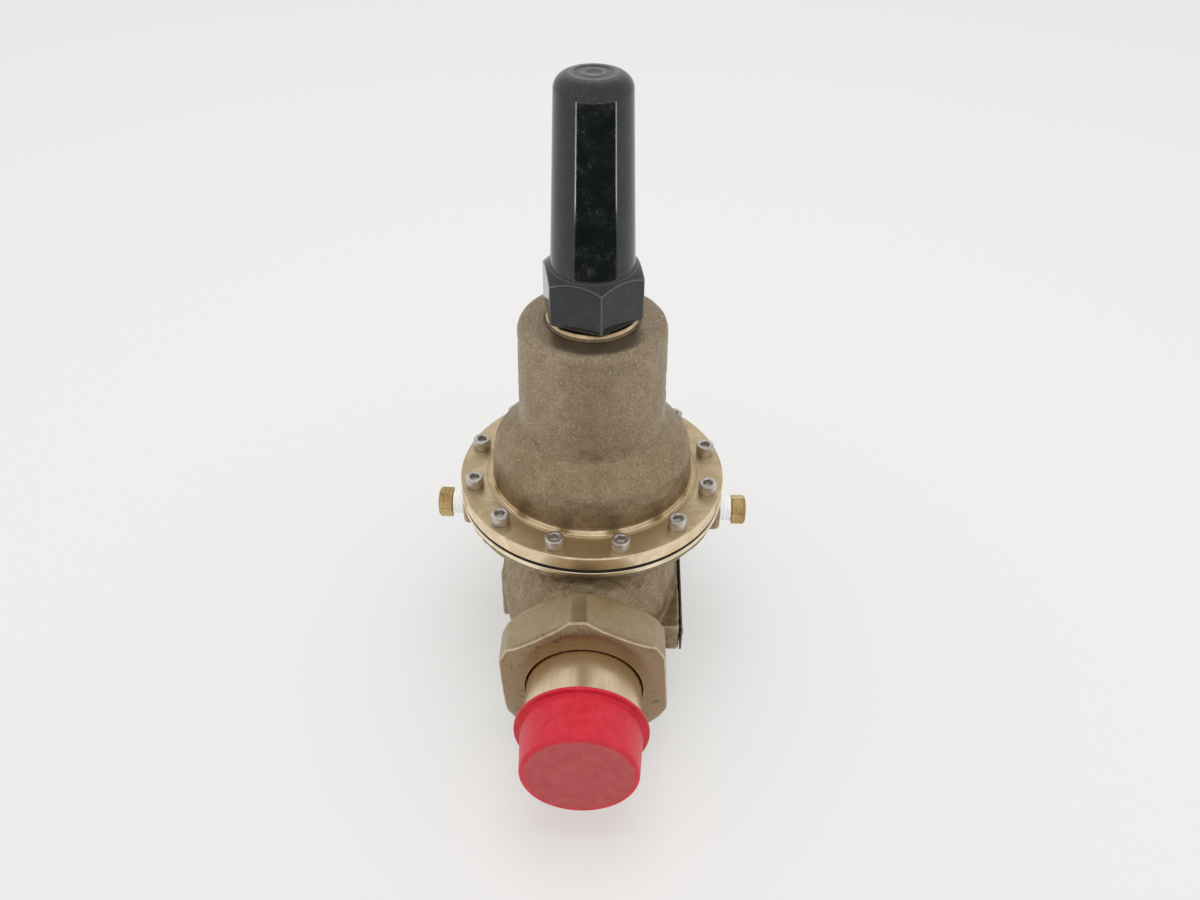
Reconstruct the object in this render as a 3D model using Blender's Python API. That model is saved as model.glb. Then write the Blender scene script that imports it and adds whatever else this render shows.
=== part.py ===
"""Direct-acting pressure reducing valve, 2 inch, as an assembly of separate solids.

The valve stands on its bottom plug: +Z runs up the stem axis, the inlet union faces -Y and the
outlet faces +Y.  Lengths are in millimetres times MM, so every object ends up in metres.
Each moving piece has its origin on the axis of its joint.
"""

import math

import bmesh
import bpy
from mathutils import Matrix, Vector

MM = 0.001

# Gaps and running clearances
GAP = 0.3 * MM                  # between two faces that touch on the real valve
RUNNING = 0.06 * MM             # radial play of a shaft in its bore
THREAD_PLAY = 0.25 * MM         # radial play of a thread, whose ridges are left out
OVERRUN = 1.0 * MM              # how far a cutting tool runs past the face it opens
ROOT = 2.0 * MM                 # how far a joined piece starts inside what it stands on
CHAMFER = 1.0 * MM              # broken corners of the turned pieces inside

# Heights on the stem axis
PIPE_Z = 53.5 * MM              # inlet and outlet axis
BODY_BOTTOM_Z = 17.0 * MM
BODY_TOP_Z = 103.6 * MM
BONNET_HEIGHT = 107.3 * MM      # clamped face to flat top
CAP_HEIGHT = 118.8 * MM
TRAVEL = 7.5 * MM               # stem lift from fully open to closed
ADJUST_UP = 8.0 * MM            # how far the spring button can still rise

# Bolted flange
FLANGE_R = 73.9 * MM
BODY_RIM = 2.8 * MM             # machined rim of the body flange
BONNET_FLANGE = 8.4 * MM
DIAPHRAGM = 1.3 * MM
DIAPHRAGM_INSET = 0.5 * MM
CLAMP_BAND = 9.5 * MM           # screw circle in to the inner edge of the clamped ring
EDGE = 0.4 * MM                 # broken edges of machined rims
SCREW_COUNT = 12
SCREW_EDGE = 7.4 * MM           # flange rim in to the screw circle
SCREW_R = 3.0 * MM
SCREW_LENGTH = 16.0 * MM
SCREW_POINT = 0.6 * MM
SCREW_HOLE_PLAY = 0.3 * MM
HEAD_R = 5.0 * MM
HEAD_HEIGHT = 6.0 * MM
SOCKET_FLATS = 5.0 * MM
SOCKET_DEPTH = 3.0 * MM
SOCKET_TURN = math.radians(11.5)

# Body casting
BARREL_R = 50.2 * MM
BARREL_FILLET = 12.0 * MM
BODY_WALL = 6.8 * MM
FLANGE_CAST = 5.0 * MM          # cast band of the flange below its machined rim
FLANGE_CAST_CORNER = 1.6 * MM
FLARE = 21.0 * MM               # height over which the flange flares into the barrel
FLARE_BEND = 9.0 * MM           # how far below the rim the flare turns down
FLARE_PULL = 5.0 * MM           # how far the flare keeps its slope before it turns down
CAST_STEP = 1.2 * MM            # the cast band starts this far in from the machined rim
TRUNK_INSET = 0.2 * MM          # widest part of the inlet trunk inside the barrel
TRUNK_DEPTH = 36.0 * MM         # how far the trunk hangs below the pipe axis
TRUNK_FULL = 28.0 * MM          # the trunk keeps its full width this far from the stem axis
TRUNK_BULGE = 1.7 * MM          # how much width the trunk loses before it turns in
TRUNK_PULL = 52.0 * MM          # distance from the stem axis where it turns in
TRUNK_NECK = 3.0 * MM           # bare neck left between the trunk and the inlet thread
DISH_DEPTH = 8.0 * MM           # straight part of the diaphragm chamber
DISH_DRAFT = 1.0 * MM
DISH_SLOPE = 7.0 * MM           # height of the slope from there to the upper chamber
SEAT_WEB = (50.0 * MM, 62.0 * MM)
LOWER_R = 42.0 * MM
LOWER_FLOOR_Z = 26.0 * MM
PIPE_BORE_R = 24.0 * MM
DUCT_START = 67.0 * MM          # distance from the axis where the bore starts to slope
DUCT_END = 38.0 * MM
DUCT_MOUTH = (24.0 * MM, 14.0 * MM)
INLET_MOUTH_DROP = 3.0 * MM     # mouth below the middle of the lower chamber
OUTLET_MOUTH_RAISE = 1.0 * MM   # mouth above the seat web
PIPE_REACH = 20.1 * MM          # flange rim to the inlet and outlet faces
INLET_THREAD = 14.0 * MM
INLET_THREAD_STEP = 1.0 * MM    # thread outside the tailpiece's shoulder
NECK_RELIEF = 1.5 * MM          # neck behind the inlet thread
OUTLET_FLATS = 78.0 * MM
OUTLET_HEX = 28.0 * MM
OUTLET_CORNER = 3.0 * MM        # rounding of the hexagon's corners, in from each face
OUTLET_CORNER_RUN = 4.0 * MM
OUTLET_NECK_R = 35.5 * MM
OUTLET_THREAD_R = 28.9 * MM
OUTLET_THREAD = 24.0 * MM
PORT_Z = 86.0 * MM
PORT_BOSS_R = 12.0 * MM
PORT_FACE_X = 73.5 * MM
PAD_PROUD = 0.3 * MM            # how far both side pads stand out past the barrel
PAD_HEIGHT = 17.4 * MM
PAD_FRONT_Y = -72.0 * MM
PAD_BACK_Y = 60.0 * MM
PAD_ROOT = 18.0 * MM            # depth of both side pads, most of it inside the barrel
CAST_PAD_HEIGHT = 34.0 * MM     # the plain pad on the other side, which carries the arrow
CAST_PAD_LENGTH = 72.0 * MM
CAST_PAD_DROP = 7.0 * MM
ARROW_RAISE = 1.1 * MM
ARROW_HEAD = 9.0 * MM
ARROW_SHAFT = 3.2 * MM          # half the shaft's width
ARROW_TAIL = 12.1 * MM
ARROW_TIP = 16.5 * MM

# Bonnet
BONNET_WALL = 6.0 * MM
BONNET_TOP = 11.5 * MM
BELL_CLEARANCE = 6.2 * MM       # screw heads to the bell
BELL_FOOT = 3.3 * MM            # height of the turned foot
BELL_STEP = 0.3 * MM
BELL_DRAFT = 0.6 * MM
BELL_HEIGHT = 18.0 * MM         # flange face to the start of the rounded shoulder
SHOULDER_STEP = 4.5 * MM        # bell in to the top of the shoulder
SHOULDER_Z = 25.8 * MM          # above the flange face
SHOULDER_PULL_Z = 23.2 * MM
CREASE_Z = 35.7 * MM
CREASE_FLARE = 2.5 * MM         # the slope meets the tower in a hollow this wide
CREASE_BELOW = 1.8 * MM
CREASE_ABOVE = 5.0 * MM
TOWER_R = 39.6 * MM
TOWER_DRAFT = 0.9 * MM
TOP_FILLET = 5.5 * MM
SEAT_BOSS_R = 24.0 * MM
SEAT_BOSS = 3.2 * MM
NECK_R = 17.0 * MM
NECK = 12.0 * MM

# Sealing cap
CAP_GASKET = 1.4 * MM
CAP_HEX_CORNER_R = 27.2 * MM
CAP_HEX = 22.0 * MM
CAP_CHAMFER = 4.4 * MM
CAP_TUBE_R = 21.3 * MM
CAP_TOP_R = 18.2 * MM
CAP_FILLET = 7.0 * MM
CAP_WALL = 3.0 * MM
CAP_FOOT_CHAMFER = (0.6 * MM, 1.0 * MM)
CAP_CROWN = 3.0 * MM            # slope inside, under the rounded top
CAP_TURN = math.radians(11.0)   # how far one corner stands from -Y

# Adjusting screw, lock nut, spring
ADJUSTER_R = 7.0 * MM
ADJUSTER_LENGTH = 112.0 * MM
ADJUSTER_SQUARE = 9.0 * MM
ADJUSTER_SQUARE_LENGTH = 12.0 * MM
LOCK_NUT_FLATS = 22.0 * MM
LOCK_NUT = 9.0 * MM
BUTTON = 6.0 * MM
BUTTON_SIDE_PLAY = 1.4 * MM
BUTTON_BOSS = 6.0 * MM
DIMPLE = 2.0 * MM
SPRING_SIDE_PLAY = 2.4 * MM
WIRE_R = 4.25 * MM
SPRING_TURNS = 6.5
SPRING_STEPS = 10               # straight pieces to a turn
BUTTON_BOSS_PLAY = 1.5 * MM     # spring's inside to the button's boss
TIP_CHAMFER = 2.0 * MM

# Stem and diaphragm stack
STEM_R = 6.0 * MM
STEM_END_R = 5.0 * MM
STEM_BOTTOM_Z = 12.5 * MM
STEM_COLLAR_R = 7.0 * MM        # collar that carries the disc holder
STEM_COLLAR = 2.0 * MM
CONVOLUTION = 4.0 * MM          # how far the middle of the diaphragm hangs below its rim
CONVOLUTION_WIDTH = 11.0 * MM
CONVOLUTION_RUN = 1.5 * MM      # the slope starts this far inside the clamped ring
CONVOLUTION_LEAN = 0.5 * MM
PLATE_INSET = 2.0 * MM          # convolution in to the rim of the plate
PLATE = 5.0 * MM
PLATE_LIP = 4.0 * MM
PLATE_LIP_WALL = 2.5 * MM
WASHER_INSET = 4.0 * MM
WASHER = 3.3 * MM
STEM_SHOULDER_R = 9.0 * MM
STEM_SHOULDER = 6.0 * MM
STEM_SHOULDER_TAPER = 2.0 * MM
STEM_THREAD_SPARE = 2.3 * MM    # thread above the disc nut
STEM_NUT_FLATS = 18.0 * MM
STEM_NUT = 7.0 * MM
STEM_STUD = 3.0 * MM            # stem left standing above its nut
NUT_CHAMFER = 0.7               # share of a nut's corners that its chamfers take

# Seat and disc
SEAT_BORE_R = 19.5 * MM
SEAT_RING_R = 23.7 * MM
SEAT_COLLAR_R = 27.5 * MM
SEAT_COLLAR = 3.5 * MM
SEAT_LIP_Z = 45.0 * MM
SEAT_LIP = 1.5 * MM
SEAT_LIP_WALL = 1.8 * MM
SEAL_CLEARANCE = 0.2 * MM       # left between seat lip and disc when closed
DISC_R = 22.0 * MM
DISC = 4.0 * MM
HOLDER_R = 25.0 * MM
HOLDER_FLOOR = 4.0 * MM
HOLDER_LIP = 0.6 * MM           # the disc stands this far out of its holder
HOLDER_CHAMFER = 1.5 * MM
RETAINER_R = 13.0 * MM
RETAINER = 2.4 * MM
DISC_NUT_FLATS = 16.0 * MM
DISC_NUT = 5.0 * MM

# Bottom plug and strainer
PLUG_HEX_FLATS = 66.0 * MM
PLUG_HEX = 9.0 * MM
PLUG_CORNER = 2.2 * MM
PLUG_LEDGE = 5.4 * MM           # collar outside the thread
PLUG_GASKET = 1.4 * MM
PLUG_THREAD_R = 33.0 * MM
PLUG_POCKET = 4.0 * MM          # floor of the plug's pocket below the floor of the chamber
GUIDE_R = 10.0 * MM
GUIDE_FOOT = (2.0 * MM, 1.0 * MM)
STEM_END_ROOM = 2.0 * MM        # left below the stem when the valve is open
STRAINER_WALL = 1.0 * MM
STRAINER_SLOTS = 12
STRAINER_SLOT = (6.0 * MM, 18.0 * MM)

# Union
UNION_GASKET = 2.0 * MM
TAIL_R = 30.0 * MM
TAIL_WALL = 4.0 * MM
TAIL_STEP = 6.0 * MM            # how far the shoulder stands out
TAIL_SHOULDER = 5.6 * MM
GASKET_INSET = 0.5 * MM
TAIL_PLAIN = 32.6 * MM          # shoulder to the start of the taper thread
TAIL_THREAD = 15.2 * MM
TAIL_THREAD_DROP = 0.4 * MM
TAIL_TAPER = 0.55 * MM
NUT_WALL = 6.0 * MM             # inlet thread to the nut's flats
NUT_LIP = 6.4 * MM
NUT_OVERLAP = 12.5 * MM         # how far the nut reaches back over the inlet thread
NUT_CORNER_CUT = 3.4 * MM
NUT_CORNER_TRIM = 2.4 * MM
NUT_TURN = math.radians(-4.0)    # how far the nut was left turned from corner up
NUT_LIP_PLAY = 0.5 * MM

# Thread protector
PROTECTOR_LENGTH = 27.5 * MM
PROTECTOR_LAP = 0.6 * MM        # mouth back over the plain tail
PROTECTOR_WALL = 0.95 * MM
PROTECTOR_FLANGE = 4.2 * MM     # rim outside the tail
PROTECTOR_RIM = 1.5 * MM
PROTECTOR_DRAFT = 0.6 * MM      # closed end inside the tail's radius
PROTECTOR_END_WALL = 1.6 * MM
PROTECTOR_CORNER = 3.6 * MM
PROTECTOR_MOUTH_PLAY = 0.25 * MM

# Gauge plugs and name plate
PLUG_SHANK_R = 6.2 * MM
PLUG_STANDOFF = 7.0 * MM        # boss face to the plug's hexagon
PORT_PLUG_FLATS = 15.0 * MM
PORT_PLUG_HEX = 8.0 * MM
PORT_PLUG_CORNER = (1.4 * MM, 1.2 * MM)
TAPE = 0.6 * MM
TAPE_START = 3.0 * MM           # end of the shank left bare
PORT_DEPTH = 14.0 * MM
PLATE_THICKNESS = 1.1 * MM
PLATE_MARGIN = 2.2 * MM
PIN_HEAD_R = 2.0 * MM
PIN_HEAD = 1.0 * MM
PIN_CROWN = 0.5 * MM
PIN_SHANK_R = 1.1 * MM
PIN_LENGTH = 5.0 * MM
PIN_INSET = 6.0 * MM

# Facets round a turn
FINE = 36
ROUND = 28
SMALL = 16
TINY = 8
OFF_CORNER = math.radians(7.2)  # turns a round cutter so that its edges miss a hexagon's corners
SHARP = math.radians(30)        # edges steeper than this stay crisp

# Radii worked out from the sizes above
SCREW_CIRCLE_R = FLANGE_R - SCREW_EDGE
CLAMP_R = SCREW_CIRCLE_R - CLAMP_BAND
CONVOLUTION_R = CLAMP_R - CONVOLUTION_WIDTH
PLATE_R = CONVOLUTION_R - PLATE_INSET
WASHER_R = CONVOLUTION_R - WASHER_INSET
BELL_R = SCREW_CIRCLE_R - HEAD_R - BELL_CLEARANCE
SHOULDER_R = BELL_R - SHOULDER_STEP
PLUG_COLLAR_R = PLUG_THREAD_R + PLUG_LEDGE
TAIL_BORE_R = TAIL_R - TAIL_WALL
TAIL_SHOULDER_R = TAIL_R + TAIL_STEP
INLET_THREAD_R = TAIL_SHOULDER_R + INLET_THREAD_STEP
INLET_NECK_R = INLET_THREAD_R - NECK_RELIEF
NUT_FLATS = 2 * (INLET_THREAD_R + NUT_WALL)
PROTECTOR_RIM_R = TAIL_R + PROTECTOR_FLANGE
PROTECTOR_END_R = TAIL_R - PROTECTOR_DRAFT

# Places worked out from the sizes above
PAD_X = BARREL_R + PAD_PROUD
OUTLET_FACE_Y = FLANGE_R + PIPE_REACH
INLET_FACE_Y = -OUTLET_FACE_Y
BONNET_BASE_Z = BODY_TOP_Z + GAP + DIAPHRAGM + GAP
FLANGE_FACE_Z = BONNET_BASE_Z + BONNET_FLANGE
BONNET_TOP_Z = BONNET_BASE_Z + BONNET_HEIGHT
CEILING_Z = BONNET_TOP_Z - BONNET_TOP
NECK_TOP_Z = BONNET_TOP_Z + SEAT_BOSS + NECK
TOWER_INNER_R = TOWER_R - TOWER_DRAFT - BONNET_WALL
CAP_BASE_Z = BONNET_TOP_Z + SEAT_BOSS + GAP + CAP_GASKET + GAP
BUTTON_TOP_Z = CEILING_Z - GAP - ADJUST_UP
BUTTON_BASE_Z = BUTTON_TOP_Z - BUTTON
SPRING_R = TOWER_INNER_R - SPRING_SIDE_PLAY - WIRE_R
MIDDLE_Z = BODY_TOP_Z + GAP - CONVOLUTION          # underside of the diaphragm's middle
PLATE_BASE_Z = MIDDLE_Z + DIAPHRAGM + GAP
PLATE_TOP_Z = PLATE_BASE_Z + PLATE
WASHER_BASE_Z = MIDDLE_Z - GAP - WASHER
DISC_TOP_Z = SEAT_LIP_Z - SEAL_CLEARANCE - TRAVEL
HOLDER_TOP_Z = DISC_TOP_Z - HOLDER_LIP
HOLDER_BASE_Z = DISC_TOP_Z - DISC - GAP - HOLDER_FLOOR
DISC_NUT_TOP_Z = DISC_TOP_Z + 2 * GAP + RETAINER + DISC_NUT
GUIDE_TOP_Z = HOLDER_BASE_Z - GAP - STEM_COLLAR - GAP
POCKET_FLOOR_Z = LOWER_FLOOR_Z - PLUG_POCKET
PLUG_COLLAR_TOP_Z = BODY_BOTTOM_Z - GAP - PLUG_GASKET - GAP
SHOULDER_BACK_Y = INLET_FACE_Y - GAP - UNION_GASKET - GAP
SHOULDER_FRONT_Y = SHOULDER_BACK_Y - TAIL_SHOULDER
NUT_FRONT_Y = SHOULDER_FRONT_Y - GAP - NUT_LIP
NUT_BACK_Y = INLET_FACE_Y + NUT_OVERLAP
TAIL_THREAD_Y = SHOULDER_FRONT_Y - TAIL_PLAIN
TAIL_END_Y = TAIL_THREAD_Y - TAIL_THREAD
PROTECTOR_MOUTH_Y = TAIL_THREAD_Y + PROTECTOR_LAP
PROTECTOR_END_Y = PROTECTOR_MOUTH_Y - PROTECTOR_LENGTH

# Finishes: colour, metallic, roughness
FINISHES = {
    "cast_bronze": ((0.36, 0.27, 0.16), 1.0, 0.52),
    "nut_bronze": ((0.40, 0.31, 0.18), 1.0, 0.45),
    "machined_brass": ((0.70, 0.55, 0.33), 1.0, 0.28),
    "plug_brass": ((0.66, 0.47, 0.19), 1.0, 0.32),
    "stainless": ((0.62, 0.60, 0.57), 1.0, 0.30),
    "spring_steel": ((0.35, 0.36, 0.38), 1.0, 0.40),
    "black_plastic": ((0.012, 0.013, 0.014), 0.0, 0.18),
    "black_rubber": ((0.02, 0.02, 0.02), 0.0, 0.75),
    "red_plastic": ((0.70, 0.03, 0.05), 0.0, 0.42),
    "white_tape": ((0.86, 0.87, 0.88), 0.0, 0.60),
    "name_plate": ((0.03, 0.03, 0.03), 0.0, 0.40),
}


def clear_scene():
    for obj in list(bpy.data.objects):
        bpy.data.objects.remove(obj, do_unlink=True)


def finish_material(name):
    """The Principled material of one finish, made once."""
    found = bpy.data.materials.get(name)
    if found:
        return found
    colour, metallic, roughness = FINISHES[name]
    made = bpy.data.materials.new(name)
    made.use_nodes = True
    shader = made.node_tree.nodes["Principled BSDF"]
    shader.inputs["Base Color"].default_value = (*colour, 1.0)
    shader.inputs["Metallic"].default_value = metallic
    shader.inputs["Roughness"].default_value = roughness
    return made


def add_object(name, mesh, finish, place):
    """Links a mesh as an object at a place, shaded smooth except at its sharp edges."""
    mesh.shade_smooth()
    mesh.set_sharp_from_angle(angle=SHARP)
    obj = bpy.data.objects.new(name, mesh)
    if not mesh.materials:
        mesh.materials.append(finish_material(finish))
    bpy.context.scene.collection.objects.link(obj)
    obj.matrix_world = place
    return obj


def along(axis, centre=(0.0, 0.0, 0.0), turn=0.0):
    """A place whose local +Z is the world axis "X", "Y" or "Z" through centre."""
    tilt = {
        "Z": Matrix.Identity(4),
        "Y": Matrix.Rotation(-math.pi / 2, 4, "X"),
        "X": Matrix.Rotation(math.pi / 2, 4, "Y"),
    }[axis]
    return Matrix.Translation(Vector(centre)) @ tilt @ Matrix.Rotation(turn, 4, "Z")


PIPE_AXIS = along("Y", (0.0, 0.0, PIPE_Z))
PIPE_AXIS_TURNED = along("Y", (0.0, 0.0, PIPE_Z), math.pi / ROUND)    # a facet, not an edge, on top
STEM_AXIS = along("Z")
STEM_AXIS_TURNED = along("Z", (0.0, 0.0, 0.0), OFF_CORNER)


def across_corners(flats):
    """Corner radius of a hexagon from the distance across its flats."""
    return flats / 2 / math.cos(math.pi / 6)


def hole(radius, play, steps):
    """Radius of a faceted hole whose flats clear a round shaft by the play."""
    return (radius + play) / math.cos(math.pi / steps)


def arc(centre, radius, start, stop, count):
    """Points of an arc in a profile, angles in degrees from +r towards +z."""
    points = []
    for index in range(count + 1):
        angle = math.radians(start + (stop - start) * index / count)
        points.append((centre[0] + radius * math.cos(angle), centre[1] + radius * math.sin(angle)))
    return points


def turned_mesh(name, profile, steps):
    """A profile of (radius, height) points turned about local Z; it may start and end on the axis."""
    bm = bmesh.new()
    verts = [bm.verts.new((radius, 0.0, height)) for radius, height in profile]
    edges = [bm.edges.new(pair) for pair in zip(verts, verts[1:])]
    if profile[0][0] > 0.0 or profile[-1][0] > 0.0:
        edges.append(bm.edges.new((verts[-1], verts[0])))
    bmesh.ops.spin(bm, geom=verts + edges, cent=(0, 0, 0), axis=(0, 0, 1),
                   angle=2 * math.pi, steps=steps, use_merge=True)
    bmesh.ops.remove_doubles(bm, verts=bm.verts, dist=1e-6)
    bmesh.ops.recalc_face_normals(bm, faces=bm.faces)
    mesh = bpy.data.meshes.new(name)
    bm.to_mesh(mesh)
    bm.free()
    return mesh


def turned(name, profile, finish, place, steps=ROUND):
    return add_object(name, turned_mesh(name, profile, steps), finish, place)


def rod(name, radius, low, high, finish, place, steps=ROUND):
    """A plain cylinder between two heights, with a point of one facet at angle 0."""
    profile = [(0.0, low), (radius, low), (radius, high), (0.0, high)]
    return turned(name, profile, finish, place, steps)


def tube(name, inner, outer, low, high, finish, place, steps=ROUND):
    profile = [(inner, low), (outer, low), (outer, high), (inner, high)]
    return turned(name, profile, finish, place, steps)


def prism(name, outline, low, high, finish, place):
    """A flat outline of (x, y) points pulled from one height to another."""
    bm = bmesh.new()
    face = bm.faces.new([bm.verts.new((x, y, low)) for x, y in outline])
    pulled = bmesh.ops.extrude_face_region(bm, geom=[face])
    top = [item for item in pulled["geom"] if isinstance(item, bmesh.types.BMVert)]
    bmesh.ops.translate(bm, verts=top, vec=(0, 0, high - low))
    bmesh.ops.recalc_face_normals(bm, faces=bm.faces)
    mesh = bpy.data.meshes.new(name)
    bm.to_mesh(mesh)
    bm.free()
    return add_object(name, mesh, finish, place)


def hexagon(flats, turn=0.0):
    """Corners of a hexagon, the first one at +X when turn is 0."""
    reach = across_corners(flats)
    corners = [turn + index * math.pi / 3 for index in range(6)]
    return [(reach * math.cos(angle), reach * math.sin(angle)) for angle in corners]


def combine(obj, tool, operation):
    """Applies one Boolean with another object, which is used up.

    The body casting takes some thirty crossing cuts, where the exact solver leaves open edges.
    """
    modifier = obj.modifiers.new(tool.name, "BOOLEAN")
    modifier.operation = operation
    modifier.solver = "MANIFOLD" if obj.name == "body" else "EXACT"
    modifier.object = tool
    bpy.context.view_layer.update()
    graph = bpy.context.evaluated_depsgraph_get()
    mesh = bpy.data.meshes.new_from_object(obj.evaluated_get(graph))
    obj.modifiers.clear()
    mesh.name = obj.name
    obj.data = mesh
    bpy.data.objects.remove(tool, do_unlink=True)
    mesh.shade_smooth()
    mesh.set_sharp_from_angle(angle=SHARP)


def join_on(obj, tool):
    combine(obj, tool, "UNION")


def cut(obj, tool):
    combine(obj, tool, "DIFFERENCE")


def keep_inside(obj, tool):
    combine(obj, tool, "INTERSECT")


def screw_angles():
    """Directions of the flange screws: the pipe axis runs midway between two of them."""
    return [(index + 0.5) * 2 * math.pi / SCREW_COUNT for index in range(SCREW_COUNT)]


def cut_screw_holes(obj, radius, low, high):
    for angle in screw_angles():
        centre = (SCREW_CIRCLE_R * math.cos(angle), SCREW_CIRCLE_R * math.sin(angle), 0.0)
        cut(obj, rod("screw_hole", radius, low, high, "stainless", along("Z", centre), TINY))


def duct(name, side, height):
    """A sloping passage from the pipe bore to a flatter mouth at a height inside the body."""
    rows = []
    start_r = PIPE_BORE_R - GAP
    for distance, radius_x, radius_z, level in (
        (DUCT_START + ROOT, start_r, start_r, PIPE_Z),
        (DUCT_END, DUCT_MOUTH[0], DUCT_MOUTH[1], height),
        (DUCT_END - BODY_WALL, DUCT_MOUTH[0], DUCT_MOUTH[1], height),
    ):
        ring = []
        for index in range(SMALL):
            angle = 2 * math.pi * (index + 0.25) / SMALL
            height_here = level + radius_z * math.sin(angle)
            ring.append((radius_x * math.cos(angle), side * distance, height_here))
        rows.append(ring)
    bm = bmesh.new()
    loops = [[bm.verts.new(point) for point in ring] for ring in rows]
    for near, far in zip(loops, loops[1:]):
        for index in range(SMALL):
            after = (index + 1) % SMALL
            bm.faces.new((near[index], near[after], far[after], far[index]))
    bm.faces.new(loops[0])
    bm.faces.new(loops[-1])
    bmesh.ops.recalc_face_normals(bm, faces=bm.faces)
    mesh = bpy.data.meshes.new(name)
    bm.to_mesh(mesh)
    bm.free()
    return add_object(name, mesh, "cast_bronze", STEM_AXIS)


def body_outline():
    """Outside of the body casting about the stem axis, from the flange face down to the bottom."""
    rim = BODY_TOP_Z - BODY_RIM
    flange = [(0.0, BODY_TOP_Z), (FLANGE_R - EDGE, BODY_TOP_Z), (FLANGE_R, BODY_TOP_Z - EDGE),
              (FLANGE_R, rim)]
    cast_r = FLANGE_R - CAST_STEP
    under = rim - FLANGE_CAST
    band = [(cast_r, rim - CAST_STEP / 2), (cast_r, under)]
    flare = curve((cast_r - FLANGE_CAST_CORNER, under - FLANGE_CAST_CORNER / 2),
                  (BARREL_R + FLARE_PULL, rim - FLARE_BEND), (BARREL_R, rim - FLARE), 4)
    fillet = min(BARREL_FILLET, BARREL_R - PLUG_THREAD_R)
    bottom = arc((BARREL_R - fillet, BODY_BOTTOM_Z + fillet), fillet, 0, -90, 3)
    return flange + band + flare + bottom + [(0.0, BODY_BOTTOM_Z)]


def inlet_trunk():
    """Wide casting round the inlet passage: round above the pipe axis and shallower below it."""
    end = INLET_FACE_Y + INLET_THREAD + TRUNK_NECK
    widest = BARREL_R - TRUNK_INSET
    taper = curve((widest, -TRUNK_FULL), (widest - TRUNK_BULGE, -TRUNK_PULL), (INLET_NECK_R, end), 6)
    trunk = turned("trunk", [(0.0, 0.0), (widest, 0.0)] + taper + [(0.0, end)], "cast_bronze",
                   PIPE_AXIS_TURNED)
    down = PIPE_AXIS_TURNED.to_3x3().inverted() @ Vector((0.0, 0.0, -1.0))
    for vert in trunk.data.vertices:
        drop = vert.co.dot(down)
        radius = math.hypot(vert.co.x, vert.co.y)
        if drop > 0.0 and radius > TRUNK_DEPTH:
            vert.co += down * drop * (TRUNK_DEPTH / radius - 1.0)
    return trunk


def make_body():
    """Cast body: barrel with two chambers parted by the seat web, sloping passages and ports."""
    body = turned("body", body_outline(), "cast_bronze", STEM_AXIS, FINE)
    inlet = [(0.0, 0.0), (INLET_NECK_R, 0.0), (INLET_NECK_R, INLET_FACE_Y + INLET_THREAD + EDGE),
             (INLET_THREAD_R, INLET_FACE_Y + INLET_THREAD), (INLET_THREAD_R, INLET_FACE_Y + EDGE),
             (INLET_THREAD_R - EDGE, INLET_FACE_Y), (0.0, INLET_FACE_Y)]
    join_on(body, turned("inlet_boss", inlet, "cast_bronze", PIPE_AXIS_TURNED))
    join_on(body, inlet_trunk())
    outlet_back = OUTLET_FACE_Y - OUTLET_HEX
    join_on(body, rod("outlet_neck", OUTLET_NECK_R, ROOT, outlet_back + ROOT, "cast_bronze",
                      PIPE_AXIS_TURNED))
    outlet = prism("outlet_hex", hexagon(OUTLET_FLATS, math.pi / 2), outlet_back, OUTLET_FACE_Y,
                   "cast_bronze", along("Y", (0, 0, PIPE_Z)))
    corner = across_corners(OUTLET_FLATS)
    rounded = [(0.0, outlet_back - GAP), (corner - OUTLET_CORNER, outlet_back - GAP),
               (corner + GAP, outlet_back + OUTLET_CORNER_RUN),
               (corner + GAP, OUTLET_FACE_Y - OUTLET_CORNER_RUN),
               (corner - OUTLET_CORNER, OUTLET_FACE_Y + GAP), (0.0, OUTLET_FACE_Y + GAP)]
    keep_inside(outlet, turned("outlet_corners", rounded, "cast_bronze", PIPE_AXIS_TURNED))
    join_on(body, outlet)
    for side in (-1, 1):
        join_on(body, rod("port_boss", PORT_BOSS_R, side * (BARREL_R - BODY_WALL), side * PORT_FACE_X,
                          "cast_bronze", along("X", (0, 0, PORT_Z)), SMALL))
    join_on(body, name_plate_pad())
    join_on(body, cast_pad())
    hollow_body(body)
    bore = hole(SCREW_R, RUNNING, TINY)
    depth = FLANGE_FACE_Z - SCREW_LENGTH - 2 * GAP
    cut_screw_holes(body, bore, depth, BODY_TOP_Z + OVERRUN)
    return body


def name_plate_pad():
    """Flat ledge along the +X side, level with the pipe axis."""
    inside = PAD_X - PAD_ROOT
    outline = [(inside, PAD_FRONT_Y), (PAD_X, PAD_FRONT_Y), (PAD_X, PAD_BACK_Y), (inside, PAD_BACK_Y)]
    return prism("pad", outline, PIPE_Z - PAD_HEIGHT / 2, PIPE_Z + PAD_HEIGHT / 2, "cast_bronze",
                 STEM_AXIS)


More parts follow.
